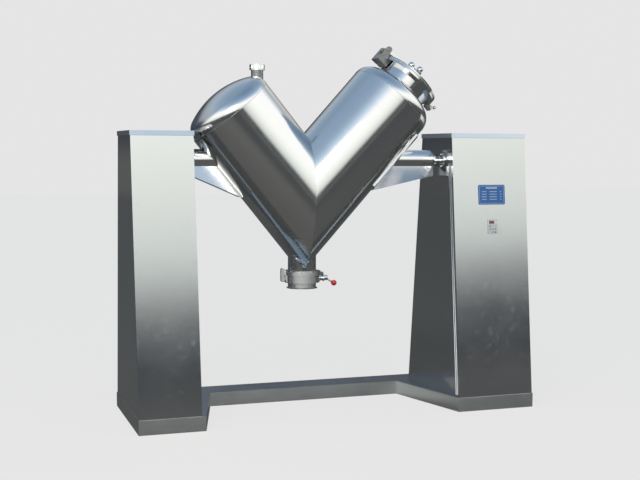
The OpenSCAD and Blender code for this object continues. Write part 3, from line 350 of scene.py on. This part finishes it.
class FinishProps(bpy.types.PropertyGroup):
    satin: bpy.props.FloatVectorProperty(
        name="Satin steel", description="Colour of the stand's satin sheet", subtype="COLOR", size=3,
        default=(0.76, 0.77, 0.77), min=0, max=1,
    )
    bright: bpy.props.FloatVectorProperty(
        name="Bright steel", description="Colour of the polished shell", subtype="COLOR", size=3,
        default=(0.79, 0.79, 0.78), min=0, max=1,
    )
    satin_rough: bpy.props.FloatProperty(
        name="Satin roughness", description="How dull the stand's sheet is", default=0.115, min=0.1, max=0.6
    )
    bright_rough: bpy.props.FloatProperty(
        name="Shell roughness", description="How dull the shell's polish is", default=0.13, min=0.02, max=0.5
    )


class DetailProps(bpy.types.PropertyGroup):
    screw_radius: bpy.props.FloatProperty(
        name="Screw radius", description="Radius of the panel screws' heads", default=0.006, min=0.003,
        max=0.01, unit="LENGTH",
    )
    screw_height: bpy.props.FloatProperty(
        name="Screw height", description="Height of the panel screws' heads", default=0.0022, min=0.001,
        max=0.004, unit="LENGTH",
    )
    screw_rows: bpy.props.IntProperty(
        name="Screws in a row", description="Screws down each edge of a rear panel", default=7, min=3, max=14
    )
    bead: bpy.props.FloatProperty(
        name="Weld bead", description="Radius of the weld beads", default=0.0022, min=0.001, max=0.004,
        unit="LENGTH",
    )


class StageProps(bpy.types.PropertyGroup):
    backdrop: bpy.props.FloatProperty(
        name="Backdrop", description="Brightness of the pale backdrop and floor", default=0.783,
        min=0.3, max=1,
    )
    key: bpy.props.FloatProperty(
        name="Key light", description="Power of the large light at the front", default=95, min=0, max=1000,
        unit="POWER",
    )
    sky: bpy.props.FloatProperty(
        name="Sky", description="Strength of the surroundings", default=1.15, min=0.1, max=2
    )


# Helpers for pieces made here


def add_mesh(name, build, made, body, smooth=True):
    mesh = bpy.data.meshes.new(name)
    bm = bmesh.new()
    build(bm)
    bm.normal_update()
    bm.to_mesh(mesh)
    bm.free()
    if smooth:
        mesh.shade_smooth()
    obj = bpy.data.objects.new(name, mesh)
    bpy.context.scene.collection.objects.link(obj)
    obj.data.materials.append(made)
    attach(obj, body)
    return obj


def ring(bm, centre, axis, radius, bead, around=96, section=8):
    """A round bead that runs in a circle about an axis."""
    turn = Vector(axis).normalized().to_track_quat("Z", "Y").to_matrix()
    rows = []
    for i in range(around):
        a = 2 * math.pi * i / around
        out = Vector((math.cos(a), math.sin(a), 0))
        row = []
        for k in range(section):
            b = 2 * math.pi * k / section
            at = out * (radius + bead * math.cos(b)) + Vector((0, 0, bead * math.sin(b)))
            row.append(bm.verts.new(Vector(centre) + turn @ at))
        rows.append(row)
    for i in range(around):
        for k in range(section):
            a, b = rows[i], rows[(i + 1) % around]
            bm.faces.new((a[k], b[k], b[(k + 1) % section], a[(k + 1) % section]))


def tube(bm, path, radius, section=8):
    """A thin round bead along an open path."""
    rows = []
    for i, at in enumerate(path):
        along = (path[min(i + 1, len(path) - 1)] - path[max(i - 1, 0)]).normalized()
        side = along.cross(Vector((0.3, 0.1, 0.9))).normalized()
        lift = along.cross(side)
        row = []
        for k in range(section):
            b = 2 * math.pi * k / section
            row.append(bm.verts.new(at + (side * math.cos(b) + lift * math.sin(b)) * radius))
        rows.append(row)
    for a, b in zip(rows, rows[1:]):
        for k in range(section):
            bm.faces.new((a[k], b[k], b[(k + 1) % section], a[(k + 1) % section]))
    bm.faces.new(list(reversed(rows[0])))
    bm.faces.new(rows[-1])


def block(bm, centre, axes, half):
    """A box given by its centre, its three unit axes and its half sizes."""
    corners = []
    arms = [axis * size for axis, size in zip(axes, half)]
    for i in (-1, 1):
        for j in (-1, 1):
            for k in (-1, 1):
                corners.append(bm.verts.new(Vector(centre) + arms[0] * i + arms[1] * j + arms[2] * k))
    for f in ((0, 1, 3, 2), (4, 6, 7, 5), (0, 4, 5, 1), (2, 3, 7, 6), (0, 2, 6, 4), (1, 5, 7, 3)):
        bm.faces.new([corners[i] for i in f])


# Geometry Nodes for the rows of screws


def screw_rows_tree():
    tree = bpy.data.node_groups.new("Rows of screws", "GeometryNodeTree")
    add = tree.interface.new_socket
    add("Geometry", in_out="OUTPUT", socket_type="NodeSocketGeometry")
    for name, kind in (
        ("Count", "NodeSocketInt"), ("Start", "NodeSocketVector"), ("Step", "NodeSocketVector"),
        ("Radius", "NodeSocketFloat"), ("Height", "NodeSocketFloat"), ("Turn", "NodeSocketRotation"),
        ("Material", "NodeSocketMaterial"),
    ):
        add(name, in_out="INPUT", socket_type=kind)
    new, link = tree.nodes.new, tree.links.new
    given, out = new("NodeGroupInput"), new("NodeGroupOutput")
    line = new("GeometryNodeMeshLine")
    line.mode = "OFFSET"
    link(given.outputs["Count"], line.inputs["Count"])
    link(given.outputs["Start"], line.inputs["Start Location"])
    link(given.outputs["Step"], line.inputs["Offset"])
    head = new("GeometryNodeMeshCylinder")
    head.inputs["Vertices"].default_value = 24
    link(given.outputs["Radius"], head.inputs["Radius"])
    link(given.outputs["Height"], head.inputs["Depth"])
    socket = new("GeometryNodeMeshCylinder")
    socket.inputs["Vertices"].default_value = 6
    half = new("ShaderNodeMath")
    half.operation = "MULTIPLY"
    half.inputs[1].default_value = 0.5
    link(given.outputs["Radius"], half.inputs[0])
    link(half.outputs[0], socket.inputs["Radius"])
    tall = new("ShaderNodeMath")
    tall.operation = "MULTIPLY"
    tall.inputs[1].default_value = 1.4
    link(given.outputs["Height"], tall.inputs[0])
    link(tall.outputs[0], socket.inputs["Depth"])
    both = new("GeometryNodeJoinGeometry")
    link(head.outputs["Mesh"], both.inputs[0])
    link(socket.outputs["Mesh"], both.inputs[0])
    spread = new("GeometryNodeInstanceOnPoints")
    link(line.outputs["Mesh"], spread.inputs["Points"])
    link(both.outputs[0], spread.inputs["Instance"])
    link(given.outputs["Turn"], spread.inputs["Rotation"])
    real = new("GeometryNodeRealizeInstances")
    link(spread.outputs[0], real.inputs[0])
    paint_node = new("GeometryNodeSetMaterial")
    link(real.outputs[0], paint_node.inputs["Geometry"])
    link(given.outputs["Material"], paint_node.inputs["Material"])
    link(paint_node.outputs[0], out.inputs[0])
    return tree


def run_tree(name, tree, values):
    """The mesh that a tree makes with these values for its named inputs."""
    base = bpy.data.objects.new(name + ".base", bpy.data.meshes.new(name))
    bpy.context.scene.collection.objects.link(base)
    modifier = base.modifiers.new(name, "NODES")
    modifier.node_group = tree
    for item in tree.interface.items_tree:
        if item.item_type == "SOCKET" and item.in_out == "INPUT":
            modifier[item.identifier] = values[item.name]
    graph = bpy.context.evaluated_depsgraph_get()
    mesh = bpy.data.meshes.new_from_object(base.evaluated_get(graph))
    base.modifiers.remove(modifier)
    bpy.data.objects.remove(base)
    return mesh


def join(name, meshes, body):
    bm = bmesh.new()
    for mesh in meshes:
        bm.from_mesh(mesh)
    made = bpy.data.meshes.new(name)
    bm.to_mesh(made)
    bm.free()
    made.materials.append(meshes[0].materials[0])
    obj = bpy.data.objects.new(name, made)
    bpy.context.scene.collection.objects.link(obj)
    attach(obj, body)
    return obj


MADE = {}


class MIXER_OT_stand(bpy.types.Operator):
    """Give the stand's panels, base, frames and drive their finishes"""

    bl_idname = "mixer.stand"
    bl_label = "Stand"

    def execute(self, context):
        p = context.scene.mixer_finish
        steel = tuple(p.satin)
        upright, level, faint = (900, 900, 9), (9, 900, 900), (500, 500, 5)
        satin = material("satin steel", brushed(steel, p.satin_rough, 0, upright))
        mirror = material("bright side", brushed(steel, 0.13, 0, faint, 0.12, 0.05))
        base = material("base steel", brushed(steel, 0.20, 0, level, lean=0.12))
        cap = material("cap steel", brushed(steel, 0.24, 0, level, lean=0.40))
        grey = material("frame paint", painted((0.33, 0.35, 0.37), 0.5))
        iron = material("housing paint", cast((0.30, 0.32, 0.33), 0.55, 0.2))
        oiled = material("oiled steel", cast((0.16, 0.16, 0.17), 0.38, 0.9))
        blue = material("motor enamel", painted((0.06, 0.20, 0.45), 0.35))
        for side in ("left", "right"):
            paint(satin, f"{side}_front_panel", f"{side}_back_panel")
            paint(mirror, f"{side}_outer_panel", f"{side}_inner_panel_top", f"{side}_inner_panel_bottom")
            paint(cap, f"{side}_cap")
            paint(base, f"{side}_foot")
            paint(grey, f"{side}_frame")
            paint(iron, f"{side}_bearing")
        paint(base, "rear_beam")
        paint(grey, "drive_shelf")
        paint(iron, "gear_reducer")
        paint(blue, "drive_motor")
        paint(oiled, "drive_chain", "big_sprocket", "small_sprocket")
        return {"FINISHED"}


class MIXER_OT_shell(bpy.types.Operator):
    """Give the turning shell and its fittings their polish"""

    bl_idname = "mixer.shell"
    bl_label = "Shell"

    def execute(self, context):
        p = context.scene.mixer_finish
        bright = tuple(p.bright)
        lean = math.atan2(RIGHT_UP.x, RIGHT_UP.z)
        even = (200, 200, 200)
        right = material("right leg polish", polished(bright, p.bright_rough, -lean))
        left = material("left leg polish", polished(bright, p.bright_rough, lean * 0.93))
        fitting = material("fitting polish", polished(bright, 0.17, 0))
        # Painted shade: two darkened copies of the shell steel, 0.85 of its colour for the right gusset and
        # 0.42 for the fold strips
        shaded_gusset_colour, dull = shaded(bright, 0.85), shaded(bright, 0.42)
        left_web = material("warm gusset steel", brushed(bright, 0.20, 0, even, 0.15, 0.05, lean=0.44))
        # The right gusset takes the 0.85 copy as painted shade; the left gusset keeps the shell's own colour
        right_web_painted_shade = material("gusset steel", brushed(shaded_gusset_colour, 0.20, 0, even, 0.15, 0.05, lean=0.9))
        machined = material("machined steel", brushed(bright, 0.22, 0, (300, 300, 300), 0.2, lean=0.10))
        casting = material("cast stainless", cast((0.52, 0.52, 0.51), 0.36, 0.95))
        gasket = material("white gasket", plain((0.80, 0.79, 0.75), 0.5))
        MADE["weld"] = material("weld steel", cast(shaded(bright, 0.92), 0.30, 1.0))
        # Painted shade: the fold strips' steel is the shell steel darkened to 0.42 of its colour
        MADE["fold"] = material("fold steel with painted shade", brushed(dull, 0.30, 0, even, 0.15, 0.05, lean=0.35))
        paint(right, "right_leg", "right_head", "right_saddle", "manway_neck")
        paint(left, "left_leg", "left_head", "left_saddle")
        paint(left_web, "left_gusset")
        paint(right_web_painted_shade, "right_gusset")
        paint(fitting, "left_trunnion", "right_trunnion", "port_ferrule", "discharge_neck", "manway_lid")
        paint(
            machined, "shafts", "cross_bar", "latch_bolt", "port_blank", "ring_nut", "discharge_clamp",
            "valve_body", "valve_disc", "hand_nut",
        )
        paint(casting, "hinge_bracket")
        paint(gasket, "manway_gasket")
        red = (0.72, 0.03, 0.03)
        ball_from = high("valve_lever").x - 0.034
        ball_top = low("valve_lever").z + 0.032

        def lever(s):
            x, y, z = s.axes(s.place())
            mask = (z < ball_top) * (x > ball_from)
            return {
                "Base Color": s.mix(mask, bright, red),
                "Metallic": 1 - mask,
                "Roughness": 0.22 + mask * 0.06,
                "Coat Weight": mask * 0.5,
            }

        paint(material("lever and red ball", lever), "valve_lever")
        return {"FINISHED"}


class MIXER_OT_controls(bpy.types.Operator):
    """Finish the rating plate, the control unit, its window and its keys"""

    bl_idname = "mixer.controls"
    bl_label = "Controls"

    def execute(self, context):
        press = Vector(joint("key_1_press")["axis"])
        steep = (-press).cross(Vector((1, 0, 0))).normalized().z
        plate = middle("rating_plate")
        size = high("rating_plate") - low("rating_plate")
        half_w = size.x / 2
        half_h = size.z / 2 / steep

        def fraction(s, value):
            return s.node("ShaderNodeMath", {"operation": "FRACT"}, {0: value})

        def blue(s):
            """A bare plate: a frame line, a head bar and rows of blank fields."""
            place = s.place()
            x, y, z = s.axes(place)
            u = abs(x - plate.x)
            up = (z - plate.z) / steep
            v = abs(up)
            edge, line = 0.008, 0.006
            border = (u > half_w - edge) * (u < half_w - line) + (v > half_h - edge) * (v < half_h - line)
            inside = (u < half_w - line) * (v < half_h - line)
            row = fraction(s, up / 0.014 + 10)
            field = (row < 0.34) * (row > 0.06) * (u < half_w * 0.74) * (up < half_h * 0.45)
            column = fraction(s, (x - plate.x) / 0.062 + 10.5)
            field = field * (column > 0.30) * (up > -half_h * 0.62)
            head = (u < half_w * 0.42) * (abs(up - half_h * 0.68) < 0.0045)
            drawn = border * inside + field + head
            mark = s.node("ShaderNodeMath", {"operation": "MINIMUM"}, {0: drawn, 1: 1.0})
            return {
                "Base Color": s.mix(mark, (0.05, 0.16, 0.42), (0.45, 0.55, 0.68)),
                "Metallic": 0.25,
                "Roughness": 0.34 + s.noise(place, 60, 3) * 0.08,
            }

        unit = middle("control_unit")

        def face(s):
            place = s.place()
            x, y, z = s.axes(place)
            up = (z - unit.z) / steep
            band = (up > 0.014) * (up < 0.036)
            return {
                "Base Color": s.mix(band, (0.62, 0.65, 0.62), (0.75, 0.77, 0.74)),
                "Metallic": 0.0,
                "Roughness": 0.42 + s.noise(place, 90, 3) * 0.1,
            }

        glass = middle("display_window")

        def window(s):
            """Dark glass with a row of short red bars, no digits."""
            place = s.place()
            x, y, z = s.axes(place)
            cell = fraction(s, (x - glass.x) / 0.0075 + 20.5)
            inside = (abs(x - glass.x) < 0.0145) * (abs((z - glass.z) / steep) < 0.0045)
            bar = (abs(cell - 0.5) < 0.13) * inside
            return {
                "Base Color": (0.055, 0.012, 0.012),
                "Roughness": 0.08 + s.noise(place, 50, 3) * 0.05,
                "Coat Weight": 0.6,
                "Emission Color": s.mix(bar, (0, 0, 0), (0.85, 0.06, 0.03)),
                "Emission Strength": 0.8,
            }

        paint(material("blue plate", blue), "rating_plate")
        paint(material("unit face", face), "control_unit")
        paint(material("dark window", window), "display_window")
        green = material("green keys", plain((0.16, 0.42, 0.30), 0.45))
        grey = material("grey keys", plain((0.30, 0.33, 0.36), 0.45))
        red = material("red key", plain((0.55, 0.07, 0.06), 0.45))
        paint(green, "key_1", "key_5")
        paint(grey, "key_2", "key_3", "key_4")
        paint(red, "key_6")
        return {"FINISHED"}


class MIXER_OT_screws(bpy.types.Operator):
    """Set rows of socket screws down the rear panels' edges"""

    bl_idname = "mixer.screws"
    bl_label = "Panel screws"

    def execute(self, context):
        p = context.scene.mixer_detail
        tree = screw_rows_tree()
        dark = material("screw steel", plain((0.35, 0.35, 0.36), 0.3, 1.0))
        meshes = []
        margin, inset, sheet = 0.05, 0.022, 0.016
        for side in ("left", "right"):
            lo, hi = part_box(f"{side}_back_panel")
            rise = hi.z - lo.z
            run = hi.y - lo.y - sheet
            slope = math.atan2(run, rise)
            way = Vector((0, -run * (1 - 2 * margin / rise), rise - 2 * margin))
            start_y = hi.y - run * margin / rise + p.screw_height * 0.35
            for x in (lo.x + inset, hi.x - inset):
                values = {
                    "Count": p.screw_rows, "Start": (x, start_y, lo.z + margin),
                    "Step": tuple(way / (p.screw_rows - 1)), "Radius": p.screw_radius,
                    "Height": p.screw_height, "Turn": (-math.pi / 2 + slope, 0, 0), "Material": dark,
                }
                meshes.append(run_tree("screws", tree, values))
        join("rear_panel_screws", meshes, "stand")
        return {"FINISHED"}


class MIXER_OT_welds(bpy.types.Operator):
    """Lay the weld beads of the legs' seam, the heads, the manway neck and the discharge"""

    bl_idname = "mixer.welds"
    bl_label = "Weld beads"

    def execute(self, context):
        bead = context.scene.mixer_detail.bead
        across = (RIGHT_UP - LEFT_UP).normalized()
        around = 160

        def seam(bm):
            """Runs where the two legs meet, and stops where the discharge cuts them."""
            rows = []
            for i in range(around):
                a = 2 * math.pi * i / around
                out = RIGHT_OUT * math.cos(a) + Vector((0, 1, 0)) * math.sin(a)
                climb = -LEG_RADIUS * out.dot(across) / RIGHT_UP.dot(across)
                rows.append(MEETING + out * LEG_RADIUS + RIGHT_UP * climb)
            shown = [at for at in rows if at.z > MEETING.z - SEAM_DEPTH]
            start = max(range(len(shown)), key=lambda i: (shown[i] - shown[i - 1]).length)
            tube(bm, shown[start:] + shown[:start], bead * 0.55)

        def beads(bm):
            outlet = (SHAFT.x, 0, low("discharge_neck").z + OUTLET_WELD_HEIGHT)
            ring(bm, MEETING + RIGHT_UP * NECK_ROOT, RIGHT_UP, NECK_RADIUS, bead)
            ring(bm, MEETING + RIGHT_UP * RIGHT_LEG_LENGTH, RIGHT_UP, LEG_RADIUS, bead * 0.35, around)
            ring(bm, MEETING + LEFT_UP * LEFT_LEG_LENGTH, LEFT_UP, LEG_RADIUS, bead * 0.35, around)
            ring(bm, outlet, (0, 0, 1), OUTLET_RADIUS, bead * 0.6)

        add_mesh("leg_seam_weld", seam, MADE["weld"], "shell")
        add_mesh("shell_welds", beads, MADE["weld"], "shell")
        return {"FINISHED"}


class MIXER_OT_trim(bpy.types.Operator):
    """Lay the two bright fold lines at the front edge of the right pedestal's inner side"""

    bl_idname = "mixer.trim"
    bl_label = "Panel folds"

    def execute(self, context):
        foot = low("right_inner_panel_bottom")
        seam = low("right_inner_panel_top")
        thick, wide, short, bevel = 0.0012, 0.0032, 0.012, 0.0005
        slope = Vector((0, seam.y - foot.y, seam.z - foot.z)).normalized()
        across = Vector((0, slope.z, -slope.y))
        axes = (Vector((1, 0, 0)), across, slope)
        centre = Vector((foot.x - thick, (seam.y + foot.y) / 2, (seam.z + foot.z) / 2))
        half_run = (seam - foot).length / 2 - short

        def strips(bm):
            for away in (0.011, 0.030):
                block(bm, centre + across * away, axes, (thick, wide, half_run))

        made = add_mesh("inner_panel_folds", strips, MADE["fold"], "stand", smooth=False)
        edges = made.modifiers.new("soft edges", "BEVEL")
        edges.width = bevel
        edges.segments = 2
        return {"FINISHED"}


# Surroundings by height: open sky over haze in front, dark buildings behind the machine

FRONT_SKY = [
    (0.0, (0.15, 0.142, 0.13)),
    (0.496, (0.13, 0.125, 0.12)),
    (0.503, (0.03, 0.034, 0.042)),
    (0.528, (0.06, 0.066, 0.076)),
    (0.544, (0.34, 0.36, 0.36)),
    (0.554, (0.70, 0.74, 0.71)),
    (0.62, (0.98, 1.0, 0.95)),
    (0.68, (1.12, 1.13, 1.11)),
    (0.75, (1.12, 1.12, 1.12)),
    (0.82, (0.56, 0.70, 0.86)),
    (0.88, (0.31, 0.43, 0.58)),
    (1.0, (0.17, 0.26, 0.41)),
]
BACK_SKY = [
    (0.0, (0.16, 0.155, 0.145)),
    (0.498, (0.12, 0.12, 0.115)),
    (0.503, (0.05, 0.055, 0.065)),
    (0.58, (0.08, 0.09, 0.11)),
    (0.70, (0.14, 0.17, 0.22)),
    (1.0, (0.12, 0.20, 0.35)),
]


class MIXER_OT_stage(bpy.types.Operator):
    """Set the pale floor, the surroundings, the lights and the camera"""

    bl_idname = "mixer.stage"
    bl_label = "Stage"

    def execute(self, context):
        p = context.scene.mixer_stage
        scene = context.scene
        bpy.ops.mesh.primitive_plane_add(size=60, location=(0, 0, -0.0005))
        floor = context.active_object
        floor.name = "floor"
        made = bpy.data.materials.new("pale floor")
        made.use_nodes = True
        s = Shade(made.node_tree)
        seen = s.node("ShaderNodeLightPath", output="Is Camera Ray")
        shown = s.node("ShaderNodeEmission", {}, {"Color": (p.backdrop,) * 3 + (1,), "Strength": 0.90})
        lit = s.node("ShaderNodeBsdfDiffuse", {}, {"Color": (0.125, 0.112, 0.098, 1)})
        both = s.node("ShaderNodeAddShader", {}, {0: shown, 1: lit})
        ground = s.node("ShaderNodeBsdfDiffuse", {}, {"Color": (0.155, 0.142, 0.124, 1)})
        mixed = s.node("ShaderNodeMixShader", {}, {0: seen, 1: ground, 2: both})
        out = s.tree.nodes.new("ShaderNodeOutputMaterial")
        s.link(mixed, out.inputs["Surface"])
        floor.data.materials.append(made)

        world = bpy.data.worlds.new("surroundings")
        scene.world = world
        world.use_nodes = True
        s = Shade(world.node_tree)
        way = s.node("ShaderNodeTexCoord", output="Generated")
        x, y, z = s.axes(way)
        height = {"Fac": z * 0.5 + 0.5 - x.clamped(0.15, 0.5) * 0.007}
        open_side = s.node("ShaderNodeValToRGB", {"stops": FRONT_SKY}, height)
        built_side = s.node("ShaderNodeValToRGB", {"stops": BACK_SKY}, height)
        tall = s.node("ShaderNodeVectorMath", {"operation": "MULTIPLY"}, {0: way, 1: (7, 7, 0.8)})
        blots = s.noise(tall, 1.0, 3.0, 0.6).clamped(0.35, 0.65)
        built_side = s.mix(blots * 0.75, built_side, (0.035, 0.04, 0.05))
        high_up = z.clamped(0.30, 0.55)
        blue = y.clamped(0.05, 0.35) * z.clamped(0.2, 0.5) * 0.75
        open_side = s.mix(blue, open_side, (0.22, 0.31, 0.42))
        behind = y.clamped(0.25, 0.55) * (1 - high_up)
        sky = s.mix(behind, open_side, built_side)
        camera_ray = s.node("ShaderNodeLightPath", output="Is Camera Ray")
        around = s.node("ShaderNodeBackground", {}, {"Color": sky, "Strength": p.sky})
        pale = s.node("ShaderNodeBackground", {}, {"Color": (p.backdrop,) * 3 + (1,), "Strength": 1.0})
        both = s.node("ShaderNodeMixShader", {}, {0: camera_ray, 1: around, 2: pale})
        out = s.tree.nodes.new("ShaderNodeOutputWorld")
        s.link(both, out.inputs["Surface"])

        def lamp(name, at, look, size, power, colour=(1, 1, 1)):
            data = bpy.data.lights.new(name, "AREA")
            data.shape = "RECTANGLE"
            data.size, data.size_y = size
            data.energy = power
            data.color = colour
            obj = bpy.data.objects.new(name, data)
            obj.location = at
            obj.rotation_euler = (Vector(look) - Vector(at)).to_track_quat("-Z", "Y").to_euler()
            scene.collection.objects.link(obj)

        centre = (CAD_BOUNDS[0] + CAD_BOUNDS[1]) / 2
        lamp("front softbox", (-2.6, -4.2, 3.6), centre, (2.6, 1.6), p.key)
        lamp("rear fill", (2.5, 3.5, 3.2), centre, (2.5, 1.5), p.key * 0.05, (1.0, 0.9, 0.7))

        data = bpy.data.cameras.new("camera")
        data.sensor_width = 36
        focus, width = 1147, 640
        data.lens = focus / width * data.sensor_width
        data.shift_x = -4 / width
        data.shift_y = 40 / width
        camera = bpy.data.objects.new("camera", data)
        scene.collection.objects.link(camera)
        camera.location = (-2.0075, -5.890, 1.407)
        yaw, pitch, roll = math.radians(18.74), math.radians(6.47), math.radians(0.26)
        turn = Matrix.Rotation(-yaw, 3, "Z") @ Matrix.Rotation(math.pi / 2 - pitch, 3, "X")
        turn = turn @ Matrix.Rotation(roll, 3, "Z")
        camera.rotation_euler = turn.to_euler()
        data.clip_end = 100
        scene.camera = camera
        scene.view_settings.view_transform = "Standard"
        return {"FINISHED"}


class MIXER_PT_sidebar(bpy.types.Panel):
    bl_label = "Mixer"
    bl_idname = "MIXER_PT_sidebar"
    bl_space_type = "VIEW_3D"
    bl_region_type = "UI"
    bl_category = "Mixer"

    def draw(self, context):
        for group in (context.scene.mixer_finish, context.scene.mixer_detail, context.scene.mixer_stage):
            box = self.layout.box()
            for key in group.bl_rna.properties.keys():
                if key not in ("rna_type", "name"):
                    box.prop(group, key)
        for operator in OPERATORS:
            self.layout.operator(operator.bl_idname)


GROUPS = (FinishProps, DetailProps, StageProps)
OPERATORS = (
    MIXER_OT_stand, MIXER_OT_shell, MIXER_OT_controls, MIXER_OT_screws, MIXER_OT_welds, MIXER_OT_trim,
    MIXER_OT_stage,
)
CLASSES = (*GROUPS, *OPERATORS, MIXER_PT_sidebar)


def register():
    for cls in CLASSES:
        bpy.utils.register_class(cls)
    bpy.types.Scene.mixer_finish = bpy.props.PointerProperty(type=FinishProps)
    bpy.types.Scene.mixer_detail = bpy.props.PointerProperty(type=DetailProps)
    bpy.types.Scene.mixer_stage = bpy.props.PointerProperty(type=StageProps)


def unregister():
    for key in ("mixer_finish", "mixer_detail", "mixer_stage"):
        delattr(bpy.types.Scene, key)
    for cls in reversed(CLASSES):
        bpy.utils.unregister_class(cls)


def main():
    register()
    for operator in OPERATORS:
        group, name = operator.bl_idname.split(".")
        getattr(getattr(bpy.ops, group), name)()


if __name__ == "__main__":
    main()
